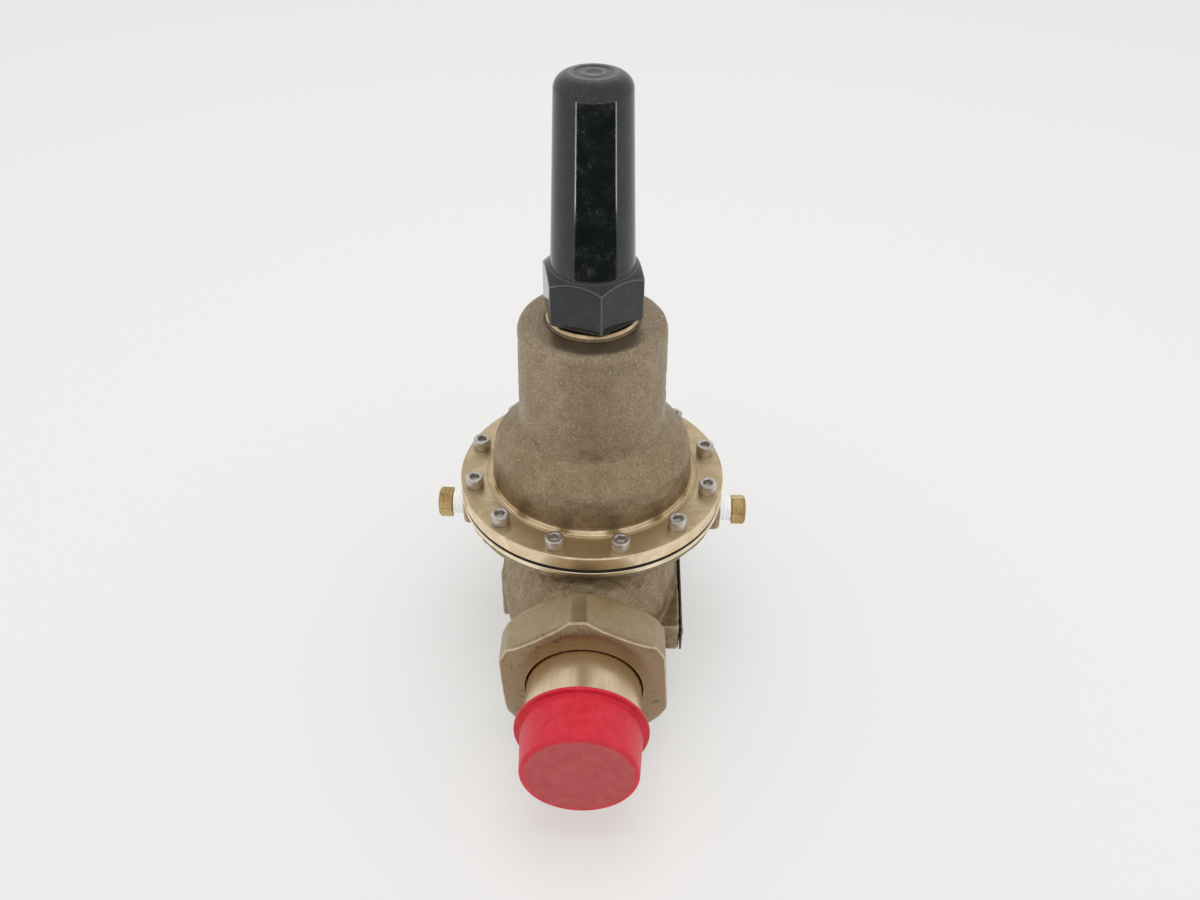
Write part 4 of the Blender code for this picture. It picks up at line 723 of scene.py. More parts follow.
def make_body():
    under = RIM_Z - 5.0
    flare = bezier((70.9, under - 0.8), (BARREL_R + 5.0, RIM_Z - 9.0), (BARREL_R, RIM_Z - 21.0), 12)
    foot = arc((BARREL_R - 11.8, BODY_BOTTOM + 11.8), 11.8, 0, -90, 8)
    barrel = [(0.0, RIM_Z + 1.0), (72.7, RIM_Z + 1.0), (72.5, under)] + flare + foot + [(0.0, BODY_BOTTOM)]
    parts = [closed_turn(barrel, STEM, 160)]
    taper = bezier((TRUNK_R, -28.0), (TRUNK_R - 1.7, -52.0), (NECK_R, -77.0), 14)
    trunk = closed_turn([(0.0, 0.0), (TRUNK_R, 0.0)] + taper + [(0.0, -77.0)], PIPE, 128)
    for vert in trunk.data.vertices:
        drop = PIPE_Z - vert.co.z / MM
        reach = math.hypot(vert.co.x / MM, drop)
        if drop > 0.0 and reach > TRUNK_DEPTH:
            vert.co.z = (PIPE_Z - drop * TRUNK_DEPTH / reach) * MM
    parts.append(trunk)
    parts.append(closed_turn([(0.0, -10.0), (NECK_R, -10.0), (NECK_R, -81.5), (0.0, -81.5)], PIPE))
    parts.append(closed_turn([(0.0, 10.0), (NECK_R, 10.0), (NECK_R, 68.0), (0.0, 68.0)], PIPE))
    for side in (-1, 1):
        boss = [(0.0, side * 40.0), (12.3, side * 40.0), (12.1, side * 73.2), (0.0, side * 73.2)]
        parts.append(closed_turn(boss, PORT, 64))
    parts.append(block((PAD_X - 18.0, -72.0, 44.6), (PAD_X + 0.1, 60.0, 62.4)))
    parts.append(block((-PAD_X - 0.1, -36.0, 29.5), (18.0 - PAD_X, 36.0, 63.5)))
    arrow = [(-3.2, -12.1), (3.2, -12.1), (3.2, 3.1), (9.0, 3.1), (0.0, 16.5), (-9.0, 3.1), (-3.2, 3.1)]
    side_on = Matrix.Translation((-PAD_X, 0.0, 46.5)) @ Matrix.Rotation(-math.pi / 2, 4, "Y")
    parts.append(outline_block(arrow, -2.0, 1.7, side_on))
    theta = hex_angles(24, math.pi / 2)
    half = 39.0
    rows = [(0.0, 66.0)]
    for share, y in ((0.90, 66.0), (0.97, 67.0), (1.0, 69.0), (1.0, 91.5), (0.975, 93.5), (0.955, 94.0)):
        rows.append((soft_min([hex_radius(theta, half, math.pi / 2, 1.0), 45.4 * share], 0.8), y))
    rows.append((0.0, 94.0))
    parts.append(skin("blank", rows, PIPE, [cast_bronze], theta, weighted=False))
    body = join_objects(parts)
    body.name = "body_casting"
    remesh = body.modifiers.new("remesh", "REMESH")
    remesh.mode = "VOXEL"
    remesh.voxel_size = VOXEL * MM
    apply_modifiers(body)
    smooth = body.modifiers.new("smooth", "SMOOTH")
    smooth.factor = 0.5
    smooth.iterations = 9
    apply_modifiers(body)
    roughen(body, 0.16, 9.0)
    cutters = [
        closed_turn([(0.0, 40.0), (24.0, 40.0), (24.0, 70.0), (29.9, 70.0), (29.9, 96.0), (0.0, 96.0)], PIPE),
        closed_turn([(0.0, -40.0), (24.0, -40.0), (24.0, -96.0), (0.0, -96.0)], PIPE),
        closed_turn([(0.0, 0.0), (38.7, 0.0), (38.7, BODY_BOTTOM), (0.0, BODY_BOTTOM)], STEM),
    ]
    for side in (-1, 1):
        port = [(0.0, side * 58.0), (7.6, side * 58.0), (7.6, side * 75.0), (0.0, side * 75.0)]
        cutters.append(closed_turn(port, PORT, 48))
    for cutter in cutters:
        cut = body.modifiers.new("bore", "BOOLEAN")
        cut.operation = "DIFFERENCE"
        cut.solver = "MANIFOLD"
        cut.object = cutter
    apply_modifiers(body)
    for cutter in cutters:
        bpy.data.objects.remove(cutter, do_unlink=True)
    body.data.materials.clear()
    body.data.materials.append(cast_bronze)
    body.data.shade_smooth()
    body.data.set_sharp_from_angle(angle=math.radians(50))
    # the last number sets how strongly the casting's creases get painted shade
    mark_edges_and_creases(body, 2.0, 4, 5.0)
    piece(body, "valve_body", "cast_bronze", "body")
    rim = [(58.0, RIM_Z, 0.1), (72.9, RIM_Z, 0.15), (FLANGE_R, RIM_Z + 0.35, 0.3),
           (FLANGE_R, BODY_TOP - 0.3, 0.25),
           (FLANGE_R - 0.35, BODY_TOP, 0.2), (58.0, BODY_TOP, 0.1)]
    piece(lathe("body_rim", rim, STEM, [highlit_rim_metal], closed=True), "valve_body", "machined_brass")


def make_inlet_thread():
    """Machined inlet: external thread, face and bore."""
    theta = ring(MEDIUM)
    rows = [(23.7, -70.0), (23.7, -93.2), (24.4, -93.9), (24.8, -94.0), (35.2, -94.0), (35.7, -93.7)]
    rows += thread_rows(theta, lambda h: 37.0, -93.3, -80.6, 2.2, 1.25)
    rows += [(35.6, -80.2), (35.0, -79.4), (35.0, -70.0)]
    obj = skin("inlet_thread", rows, PIPE, [inlet_metal], theta, closed=True)
    piece(obj, "valve_body", "machined_brass")


def make_outlet_thread():
    """Machined outlet: face ring, internal thread and shoulder."""
    theta = ring(MEDIUM)
    rows = [(24.2, 70.05), (28.9, 70.05)]
    rows += thread_rows(theta, lambda h: 28.9, 70.4, 92.6, 2.2, 1.1, inside=True)
    rows += [(29.9, 93.0), (31.0, 93.95), (31.3, 94.0), (37.2, 94.0), (37.6, 93.85), (37.6, 92.4),
             (31.5, 92.4),
             (31.5, 69.0), (24.2, 69.0)]
    obj = skin("outlet_thread", rows, PIPE, [inlet_metal], theta, closed=True)
    piece(obj, "valve_body", "machined_brass")


def make_port_rings():
    for side, name in ((-1, "left"), (1, "right")):
        profile = [(7.4, side * 66.0), (11.3, side * 66.0), (11.6, side * 73.0), (11.1, side * 73.5),
                   (8.4, side * 73.5), (7.4, side * 72.6)]
        ring_piece = lathe(f"port_face_{name}", profile, PORT, [plug_face_metal], SMALL, 0.25, closed=True)
        piece(ring_piece, "valve_body", "cast_bronze")


plug_face_metal = turned_metal("port_face_metal", (0.50, 0.38, 0.22), (0.70, 0.55, 0.34),
                               (0.36, 0.26, 0.15), "X", (0.0, 0.0, PORT_Z * MM))


# ---------------------------------------------------------------- bonnet

BONNET_BASE = 105.5
FACE_Z = 113.9
BONNET_TOP = 212.8


def make_bonnet():
    """Turned and cast bonnet: machined flange and foot rings, cast bell, shoulder, crease and tower."""
    machined = [
        (59.0, BONNET_BASE, 0.1), (72.9, BONNET_BASE, 0.15), (73.5, BONNET_BASE + 0.15, 0.2),
        (FLANGE_R, BONNET_BASE + 0.6, 0.3), (FLANGE_R, FACE_Z - 0.7, 0.3), (FLANGE_R - 0.6, FACE_Z, 0.3),
        (59.2, FACE_Z, 0.1), (58.9, FACE_Z - 0.25, 0.1), (57.9, FACE_Z - 0.25, 0.1), (57.6, FACE_Z, 0.1),
        (56.6, FACE_Z, 0.15), (56.3, FACE_Z + 0.5, 0.2), (55.95, FACE_Z + 1.5, 0.2),
    ]
    cast = [
        (55.55, FACE_Z + 2.6), (55.3, FACE_Z + 3.8), (55.2, FACE_Z + 8.0), (54.95, FACE_Z + 13.0),
        (54.55, FACE_Z + 18.0), (54.1, FACE_Z + 20.6), (53.2, FACE_Z + 22.9), (51.9, FACE_Z + 24.8),
        (50.2, FACE_Z + 26.4), (47.8, FACE_Z + 28.6), (45.4, FACE_Z + 30.9), (43.3, FACE_Z + 32.8),
        (41.5, FACE_Z + 34.4, 0.4), (40.4, FACE_Z + 35.6, 0.4), (39.85, FACE_Z + 37.2, 0.4),
        (39.65, FACE_Z + 40.5),
        (39.5, FACE_Z + 48.0), (38.75, BONNET_TOP - 7.0),
    ] + [(33.2 + 5.5 * math.cos(a), BONNET_TOP - 5.6 + 5.5 * math.sin(a))
         for a in np.radians(range(8, 90, 9))]
    cast += [(32.0, BONNET_TOP - 0.05), (25.6, BONNET_TOP)]
    boss = [(24.35, BONNET_TOP + 0.15, 0.4), (24.0, BONNET_TOP + 0.8, 0.3), (23.9, 214.7, 0.2),
            (23.5, 215.3, 0.3),
            (22.8, 216.0, 0.2), (17.4, 216.0, 0.3)]
    theta = ring(FINE)
    machined_rows = soften(machined, 0.3)
    cast_rows = split_long(soften(cast, 0.8, 2), 1.6)
    boss_rows = soften(boss, 0.3)
    neck_rows = thread_rows(theta, lambda h: 17.0, 216.4, 227.4, 1.6, 0.85, 6)
    end_rows = [(16.4, 227.9), (16.0, 228.0), (8.2, 228.0), (7.4, 227.4), (7.4, 201.3), (32.7, 201.3),
                (33.2, 155.0), (45.0, 137.0), (48.7, 130.0), (49.0, 113.9), (57.0, 108.0),
                (57.0, BONNET_BASE)]
    rows = machined_rows + cast_rows + boss_rows + neck_rows + end_rows
    edge = len(machined_rows)
    flange_start = next(k for k, row in enumerate(machined_rows) if row[1] >= FACE_Z - 0.35)
    bands = []
    for k in range(len(rows)):
        if k < flange_start:
            bands.append(1)
        elif k < edge:
            bands.append(1 if rows[k][0] < 56.8 else 0)
        elif k < edge + len(cast_rows):
            bands.append(3 if np.mean(rows[k][1]) > FACE_Z + 39.0 else 2)
        elif k < edge + len(cast_rows) + len(boss_rows) + len(neck_rows):
            bands.append(4 if np.mean(rows[k][1]) > 214.5 else 3)
        else:
            bands.append(2)
    # the second metal is the painted-highlight copy used on the flange side and the foot ring
    metals = [flange_metal, highlit_edge_metal, cast_bronze, tower_bronze, rim_metal]
    obj = skin("bonnet", rows, STEM, metals, theta, bands, closed=True)
    co = np.empty(len(obj.data.vertices) * 3)
    obj.data.vertices.foreach_get("co", co)
    co = co.reshape(-1, 3)
    radius = np.linalg.norm(co[:, :2], axis=1) / MM
    z = co[:, 2] / MM
    casting = (z > FACE_Z + 2.0) & (z < BONNET_TOP - 0.6) & (radius > 36.0)
    fade = np.clip((z - FACE_Z - 2.0) / 4.0, 0, 1) * np.clip((BONNET_TOP - z) / 6.0, 0, 1)
    push = (np.clip(unevenness(co / MM, 11.0), -2.0, 1.0) - 1.0) * 0.16 * fade * casting
    co[:, :2] += co[:, :2] / np.maximum(radius, 1.0)[:, None] * push[:, None]
    obj.data.vertices.foreach_set("co", co.ravel())
    # the last number sets how strongly the bonnet's creases get painted shade
    mark_edges_and_creases(obj, 0.6, 1, 5.0)
    piece(obj, "valve_body", "cast_bronze", "bonnet")


def make_screws():
    """Socket head cap screws: knurled head, rounded rim and a hexagon socket."""
    theta = ring(160)
    knurl = 0.13 * (0.5 + 0.5 * np.cos(theta * 32))
    head = 4.97
    socket = hex_radius(theta, 2.5, math.radians(11.5), 0.05)
    rows = [(0.0, -15.9), (2.4, -15.9), (2.97, -15.3), (2.97, -0.1), (4.5, -0.1), (head - 0.15, 0.0),
            (head - 0.05, 0.3),
            (head - knurl, 0.7), (head - knurl, 4.6), (head - 0.05, 4.95), (head, 5.1), (head - 0.06, 5.5),
            (head - 0.28, 5.8), (head - 0.6, 5.92), (3.9, 5.94), (socket + 0.32, 5.92), (socket + 0.06, 5.72),
            (socket, 5.5), (socket, 3.0), (socket * 0.8, 2.85), (0.0, 2.3)]
    pattern = skin("screw_pattern", rows, STEM, [screw_steel], theta)
    for number in range(1, 13):
        name = f"flange_screw_{number:02d}"
        low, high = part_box(name)
        screw = bpy.data.objects.new(f"cap_screw_{number:02d}", pattern.data)
        bpy.context.scene.collection.objects.link(screw)
        turn = math.radians(30.0 * number - 15.0 + (number * 47) % 60)
        middle = (low + high) / 2
        screw.matrix_world = (Matrix.Translation((middle.x, middle.y, high.z - 6.0 * MM))
                              @ Matrix.Rotation(turn, 4, "Z"))
        screw.modifiers.new("normals", "WEIGHTED_NORMAL").keep_sharp = True
        piece(screw, "valve_body", "stainless", name)
    bpy.data.objects.remove(pattern, do_unlink=True)


def make_diaphragm_edge():
    profile = [(5.2, 99.9), (46.0, 99.9), (55.5, 103.9), (73.35, 103.9), (73.5, 104.5), (73.35, 105.2),
               (55.0, 105.2),
               (45.5, 101.2), (5.2, 101.2)]
    obj = lathe("diaphragm_sheet", profile, STEM, [black_rubber], radius=0.3, closed=True)
    piece(obj, "valve_body", "black_rubber", "diaphragm")


# ---------------------------------------------------------------- sealing cap

CAP_TURN = math.radians(11.0) - math.pi / 2


def make_cap():
    """Moulded cap: hexagon foot with a turned shoulder, drafted tube, rounded top with a plain ring."""
    base, top = node_span("sealing_cap", 2)
    hex_top = base + 22.0
    shoulder = hex_top + 4.4
    theta = hex_angles(44, CAP_TURN)
    hexagon = hex_radius(theta, 27.2 * math.cos(math.pi / 6), CAP_TURN, 0.30)
    rows = [(17.6, base + 21.0), (17.6, base + 0.8), (18.3, base + 0.15), (18.6, base)]
    for inset, z in ((1.5, 0.0), (0.75, 0.0), (0.3, 0.12), (0.08, 0.4), (0.0, 0.8)):
        rows.append((hexagon - inset, base + z))
    for z in np.linspace(base + 3.0, hex_top - 3.4, 6):
        rows.append((hexagon, z))
    for z in np.linspace(hex_top - 3.0, shoulder - 0.7, 22):
        cone = 27.25 - max(z - hex_top + 0.6, 0.0) * 1.12 - 0.03 * max(z - hex_top, 0.0) ** 2
        rows.append((soft_min([hexagon, cone + np.zeros_like(theta)], 0.16), z))
    last = float(np.min(rows[-1][0]))
    tube_low, tube_high = 21.0, 18.2
    for t in np.linspace(0.2, 1.0, 6):
        blend = last + (tube_low - last) * (1 - (1 - t) ** 3)
        rows.append((blend, shoulder - 0.7 + 1.2 * t ** 2))
    for z in np.linspace(shoulder + 3.0, top - 8.0, 14):
        t = (z - shoulder - 0.5) / (top - 7.0 - shoulder - 0.5)
        rows.append((tube_low + (tube_high - tube_low) * t, z))
    for a in np.radians(np.linspace(0, 84, 13)):
        rows.append((tube_high - 7.0 + 7.0 * math.cos(a), top - 7.35 + 7.0 * math.sin(a)))
    for r, sunk in ((11.4, 0.38), (11.2, 0.32), (10.95, 0.05), (10.7, 0.0), (9.9, 0.0), (9.6, 0.06),
                    (9.35, 0.42),
                    (9.1, 0.5), (5.6, 0.5), (5.4, 0.44), (5.2, 0.24), (5.0, 0.2), (4.4, 0.2),
                    (4.2, 0.24), (4.0, 0.46),
                    (3.8, 0.52), (0.0, 0.52)):
        rows.append((r, top - sunk))
    inside = [(0.0, top - 3.0), (12.2, top - 3.0), (15.2, top - 7.0), (17.0, shoulder), (17.6, base + 21.0)]
    outer = skin("sealing_cap_moulding", rows, STEM, [black_plastic], theta)
    liner = skin("sealing_cap_liner", inside, STEM, [black_plastic], ring(SMALL))
    # the convex edges stored here become painted highlights in black_plastic
    mark_edges_and_creases(outer, 2.0, 0)
    piece(outer, "sealing_cap", "black_plastic", "sealing_cap")
    piece(liner, "sealing_cap", "black_plastic")
    low, high = node_span("cap_gasket", 2)
    washer = [(17.3, low, 0.2), (21.9, low, 0.3), (21.9, high, 0.3), (17.3, high, 0.2)]
    piece(lathe("cap_washer", washer, STEM, [black_rubber], MEDIUM, closed=True), "valve_body",
          "black_rubber",
          "cap_gasket")


# ---------------------------------------------------------------- adjusting screw and lock nut


def make_adjuster():
    low, high = node_span("adjusting_screw", 2)
    square_base = high - 12.0
    theta = ring(SMALL, 0.01)
    half = 4.5
    square = np.min([half / np.maximum(np.abs(np.cos(theta)), 1e-3),
                     half / np.maximum(np.abs(np.sin(theta)), 1e-3)],
                    axis=0)
    square = np.minimum(square, 6.15)
    rows = [(0.0, low), (4.6, low), (5.2, low + 0.15)]
    rows += thread_rows(theta, lambda h: min(7.0, 5.2 + (h - low) * 0.9), low + 0.6,
                        square_base - 0.8, 2.0, 1.05, 6)
    rows += [(6.6, square_base - 0.4), (6.3, square_base - 0.05), (square, square_base), (square, high - 0.8),
             (square - 0.25, high - 0.3), (square * 0.9 - 0.2, high), (0.0, high)]
    obj = skin("adjusting_spindle", rows, STEM, [inner_brass], theta)
    piece(obj, "adjusting_screw", "machined_brass", "adjusting_screw")


def hex_nut(name, material, half, bore, low, high, where, corner, cut, softness=0.15, pitch=0.0):
    """A hexagon nut with turned chamfers and a threaded bore."""
    theta = hex_angles(30, corner)
    hexagon = hex_radius(theta, half, corner, softness)
    reach = half / math.cos(math.pi / 6)
    height = high - low
    rows = []
    stations = np.concatenate([[0.0, 0.06, 0.2], np.linspace(0.45, cut + 0.6, 6)])
    for z in stations:
        cone = half - 0.15 + z * (reach - half + 0.2) / cut - max(0.35 - z, 0.0) ** 2 * 2.0
        rows.append((soft_min([hexagon, cone + np.zeros_like(theta)], 0.12), low + z))
    mirrored = [(r, low + height - (z - low)) for r, z in reversed(rows)]
    rows = rows + mirrored
    rows.append((bore + 1.0, high))
    rows.append((bore + 0.2, high - 0.7))
    if pitch:
        rows += thread_rows(theta, lambda h: bore, high - 0.9, low + 0.9, -pitch, 0.5 * pitch, 6, inside=True)
    rows.append((bore + 0.2, low + 0.7))
    rows.append((bore + 1.0, low))
    return skin(name, rows, where, [material], theta, closed=True)


def make_lock_nut():
    low, high = node_span("lock_nut", 2)
    obj = hex_nut("lock_nut_turned", foot_brass, 11.0, 7.1, low, high, STEM, 0.0, 1.5)
    piece(obj, "lock_nut", "plug_brass", "lock_nut")


# ---------------------------------------------------------------- union


def make_union_nut():
    """Cast union nut: hexagon with flattened corners, domed worn front, round back, bored and threaded."""
    front, back = -108.9, -81.5
    corner = math.pi / 2 + math.radians(-4.0)
    theta = hex_angles(64, corner)
    flats = hex_radius(theta, 43.0, corner, 0.2)
    trimmed = hex_radius(theta, 47.1, corner + math.pi / 6, 0.2)
    outline = soft_min([flats, trimmed], 0.28)
    bore, inner = 30.5, 37.3

    def dome(radius, start, depth, power):
        return depth * np.clip((radius - start) / (47.3 - start), 0.0, 1.1) ** power

    rows = [(bore, front + 6.4), (bore, front + 1.2), (bore + 0.25, front + 0.5), (bore + 0.8, front + 0.1)]
    lip = bore + 1.3
    for share in (0.0, 0.15, 0.3, 0.45, 0.6, 0.7, 0.8, 0.88, 0.94, 0.975):
        radius = lip + (outline - lip) * share
        rows.append((radius, front + dome(radius, 35.0, 3.7, 2.6)))
    front_edge = front + dome(outline, 35.0, 3.7, 2.6)
    back_edge = back - dome(outline, 42.0, 3.4, 1.2) - 0.3
    rows += [(outline - 0.3, front_edge), (outline - 0.08, front_edge + 0.18), (outline, front_edge + 0.5)]
    for share in (0.06, 0.14, 0.26, 0.4, 0.55, 0.7, 0.82, 0.92, 0.97):
        rows.append((outline, front_edge + (back_edge - front_edge) * share))
    rows += [(outline - 0.1, back_edge - 0.15), (outline - 0.5, back_edge + 0.15)]
    for share in (0.8, 0.55, 0.3):
        radius = inner + 1.4 + (outline - inner - 1.4) * share
        rows.append((radius, back - dome(radius, 42.0, 3.4, 1.2) - 0.1 * share))
    rows += [(inner + 1.4, back), (inner + 0.9, back - 0.4)]
    rows += thread_rows(theta, lambda h: inner, back - 0.8, front + 8.6, -2.2, 1.0, 6, inside=True)
    rows += [(inner + 0.6, front + 7.6), (inner + 0.6, front + 6.4)]
    obj = skin("union_nut_casting", rows, PIPE, [nut_bronze], theta, closed=True)
    mark_edges_and_creases(obj, 1.6, 0)
    co = np.empty(len(obj.data.vertices) * 3)
    obj.data.vertices.foreach_get("co", co)
    co = co.reshape(-1, 3)
    out = co - np.array([0.0, 0.0, PIPE_Z * MM])
    out[:, 1] = 0.0
    radius = np.linalg.norm(out, axis=1)
    push = (np.clip(unevenness(co / MM, 12.0), -2.0, 1.0) - 1.0) * 0.07 * (radius > 41.0 * MM)
    co += out / np.maximum(radius, 1e-6)[:, None] * (push * MM)[:, None]
    obj.data.vertices.foreach_set("co", co.ravel())
    piece(obj, "union_nut", "nut_bronze", "union_nut")


def make_tailpiece():
    """Turned tailpiece with its shoulder and a taper pipe thread on the end."""
    theta = ring(MEDIUM)
    rows = soften([(26.0, -149.9), (26.0, -96.7), (26.5, -96.6), (35.6, -96.6), (36.0, -97.0), (36.0, -101.8),
                   (35.6, -102.2), (30.4, -102.2), (30.0, -102.6), (30.0, -133.2), (29.9, -134.3)], 0.25)
    rows += thread_rows(theta, lambda h: 29.6 + (h + 134.8) * 0.036, -149.0, -134.6, 2.2, 1.1)[::-1]
    rows += [(28.0, -149.6), (27.2, -150.0), (26.4, -150.0)]
    obj = skin("tail_tube", rows, PIPE, [tail_brass], theta, closed=True)
    piece(obj, "union_tailpiece", "machined_brass", "union_tailpiece")
    low, high = node_span("union_gasket", 1)
    washer = [(26.0, low, 0.2), (35.5, low, 0.4), (35.5, high, 0.4), (26.0, high, 0.2)]
    piece(lathe("union_washer", washer, PIPE, [black_rubber], MEDIUM, closed=True), "valve_body",
          "black_rubber",
          "union_gasket")


def make_protector():
    """Soft red cap with a thin rim, drafted side, rounded corner and a slightly sunken end."""
    mouth, end = -134.2, -161.7
    profile = [(30.2, mouth, 0.2), (33.9, mouth, 0.3), (34.2, mouth - 0.4, 0.3), (34.2, mouth - 1.4, 0.3),
               (33.9, mouth - 1.75, 0.3), (31.4, mouth - 1.95, 0.4), (30.95, mouth - 2.5, 0.5),
               (30.75, mouth - 6.0, 0.5), (29.55, end + 3.0, 0.5)]
    profile += [(27.4 + 2.1 * math.cos(a), end + 2.1 - 2.1 * math.sin(a), 0.1)
                for a in np.radians(range(10, 91, 10))]
    profile += [(26.2, end + 0.02, 0.3), (24.9, end + 0.5, 0.6), (16.0, end + 0.7, 1.0),
                (4.0, end + 0.6, 0.5),
                (0.0, end + 0.6)]
    rows = split_long(soften(profile, 0.3), 2.0)
    inside = [(0.0, end + 1.9), (24.5, end + 1.9), (27.9, end + 4.6), (28.9, -150.0), (29.7, -136.0),
              (30.2, mouth)]
    outer = skin("protector_moulding", rows, PIPE, [red_plastic], ring(MEDIUM))
    co = np.empty(len(outer.data.vertices) * 3)
    outer.data.vertices.foreach_get("co", co)
    co = co.reshape(-1, 3)
    sunk = np.clip((-co[:, 1] / MM - 160.6) / 0.8, 0, 1)
    co[:, 1] += sunk * (np.clip(unevenness(co / MM, 16.0), -1.0, 1.0) * 0.1 + 0.15) * MM
    outer.data.vertices.foreach_set("co", co.ravel())
    liner = skin("protector_liner", split_long(inside, 4.0), PIPE, [red_plastic], ring(SMALL))
    piece(outer, "thread_protector", "red_plastic", "thread_protector")
    piece(liner, "thread_protector", "red_plastic")


# ---------------------------------------------------------------- gauge plugs, plate and foot


def make_gauge_plugs():
    for name, side, turn in (("left", -1, math.radians(19)), ("right", 1, math.radians(7))):
        theta = hex_angles(26, turn)
        hexagon = hex_radius(theta, GAUGE_PLUG_HALF_FLATS, turn, 0.14)
        reach = GAUGE_PLUG_HALF_FLATS / math.cos(math.pi / 6)
        rows = [(0.0, 59.6), (5.2, 59.6), (6.1, 60.6), (6.1, 80.6), (6.6, 80.55)]
        for inset, x in ((0.5, 80.5), (0.2, 80.56), (0.05, 80.75), (0.0, 81.0)):
            rows.append((hexagon - inset, x))
        for x in np.linspace(82.5, 86.6, 4):
            rows.append((hexagon, x))
        for depth in (1.7, 1.2, 0.8, 0.45, 0.2, 0.07, 0.0):
            cone = reach - 1.5 + depth * 1.3 - max(0.3 - depth, 0.0) ** 2 * 2.0
            rows.append((soft_min([hexagon, cone + np.zeros_like(theta)], 0.12), 88.5 - depth))
        rows += [(5.2, 88.5), (4.6, 88.44), (2.0, 88.4), (0.0, 88.4)]
        rows = [(r, side * x) for r, x in rows]
        plug = skin(f"gauge_port_plug_{name}", rows, PORT, [plug_brass], theta)
        # the convex edges stored here become painted dark edge lines in plug_brass
        mark_edges_and_creases(plug, 0.9, 0)
        piece(plug, "valve_body", "plug_brass", f"gauge_plug_{name}")
        wrap_theta = ring(SMALL)
        wrap = [(6.25, 62.5), (6.9, 62.5)]
        for x in np.linspace(63.0, 80.0, 84):
            spiral = (x / 1.9 + side * wrap_theta / (2 * math.pi)) % 1.0
            step = 0.34 * spiral ** 2
            crumple = 0.07 * np.sin(wrap_theta * 7 + x * 2.3) + 0.05 * np.sin(wrap_theta * 13 - x * 3.7)
            wrap.append((6.55 + step + crumple * 0.8, x))
        wrap += [(6.9, 80.15), (6.25, 80.2)]
        wrap = [(r, side * x) for r, x in wrap]
        tape = skin(f"tape_wrap_{name}", wrap, PORT, [white_tape], wrap_theta, closed=True, weighted=False)
        piece(tape, "valve_body", "white_tape", f"thread_tape_{name}")


def make_name_plate():
    """Blank plate with a raised border, and the domed heads of its two drive pins."""
    low, high = (np.array(v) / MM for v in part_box("name_plate"))
    front_x = high[0]
    bm = bmesh.new()
    bmesh.ops.create_cube(bm, size=1.0)
    size = high - low
    middle = (high + low) / 2
    for vert in bm.verts:
        vert.co = Vector([vert.co[k] * size[k] + middle[k] for k in range(3)])
    front = [f for f in bm.faces if f.normal.x > 0.9 or f.calc_center_median().x > front_x - 0.01]
    bmesh.ops.inset_region(bm, faces=front, thickness=1.4, depth=0.0)
    bmesh.ops.inset_region(bm, faces=front, thickness=0.3, depth=-0.25)
    long_edges = [e for e in bm.edges if e.calc_length() > 0.9]
    bmesh.ops.bevel(bm, geom=long_edges, offset=0.22, segments=2, affect="EDGES")
    mesh = bpy.data.meshes.new("name_plate_blank")
    bm.to_mesh(mesh)
    bm.free()
    mesh.transform(Matrix.Scale(MM, 4))
    mesh.materials.append(name_plate_paint)
    mesh.shade_smooth()
    mesh.set_sharp_from_angle(angle=math.radians(40))
    plate = bpy.data.objects.new("name_plate_blank", mesh)
    bpy.context.scene.collection.objects.link(plate)
    plate.modifiers.new("normals", "WEIGHTED_NORMAL")
    mark_edges_and_creases(plate, 0.6, 0)
    piece(plate, "valve_body", "name_plate", "name_plate")
    for number in (1, 2):
        pin_low, pin_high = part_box(f"plate_pin_{number}")
        y = (pin_low.y + pin_high.y) / 2 / MM
        end = pin_high.x / MM
        where = Matrix.Translation((0.0, y, PIPE_Z)) @ Matrix.Rotation(math.pi / 2, 4, "Y")
        profile = [(0.0, end - 7.0), (1.1, end - 7.0), (1.1, end - 1.0), (2.0, end - 1.0),
                   (1.95, end - 0.6, 0.3),
                   (1.4, end - 0.15, 0.4), (0.0, end)]
        pin = lathe(f"drive_pin_{number}", profile, where, [inner_steel], 48, 0.15)
        piece(pin, "valve_body", "stainless", f"plate_pin_{number}")


def make_bottom_plug():
    """Brass plug with a chamfered hexagon, collar and guide bore."""
    theta = hex_angles(40, math.pi / 6)
    hexagon = hex_radius(theta, 33.0, math.pi / 6, 0.35)
    reach = 33.0 / math.cos(math.pi / 6)
    rows = [(0.0, 0.6), (10.0, 0.6), (11.0, 0.0)]
    for depth in (0.0, 0.1, 0.35, 0.8, 1.4, 2.0, 2.6):
        cone = reach - 2.4 + depth * 1.05 - max(0.5 - depth, 0.0) ** 2 * 1.6
        rows.append((soft_min([hexagon, cone + np.zeros_like(theta)], 0.25), depth))
    for z in (4.5, 7.0, 9.0):
        rows.append((hexagon, z))
    rows += [(hexagon - 0.12, 9.7), (hexagon - 0.5, 10.0), (38.2 + 0 * theta, 10.0), (38.4, 10.3),
             (38.4, 14.5)]
    rows += [(38.0, 15.0), (33.0, 15.0), (33.0, 22.0), (12.0, 22.0), (10.0, 23.0), (10.0, 26.4), (5.3, 26.4),
             (5.3, 10.5), (0.0, 10.5)]
    obj = skin("foot_plug", rows, STEM, [foot_brass], theta)
    piece(obj, "valve_body", "plug_brass", "bottom_plug")
    low, high = node_span("bottom_gasket", 2)
    washer = [(33.4, low, 0.2), (38.3, low, 0.4), (38.3, high, 0.4), (33.4, high, 0.2)]
    piece(lathe("foot_washer", washer, STEM, [black_rubber], MEDIUM, closed=True), "valve_body",
          "black_rubber",
          "bottom_gasket")


def make_range_spring():
    """Range spring: a copy of the CAD spring's mesh in spring steel."""
    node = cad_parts["range_spring"]
    mesh = node.data.copy()
    mesh.transform(node.matrix_world)
    mesh.materials.clear()
    mesh.materials.append(spring_steel)
    obj = bpy.data.objects.new("coil_spring", mesh)
    bpy.context.scene.collection.objects.link(obj)
    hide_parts("range_spring")
    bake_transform(obj)


# ---------------------------------------------------------------- nodes kept as they are

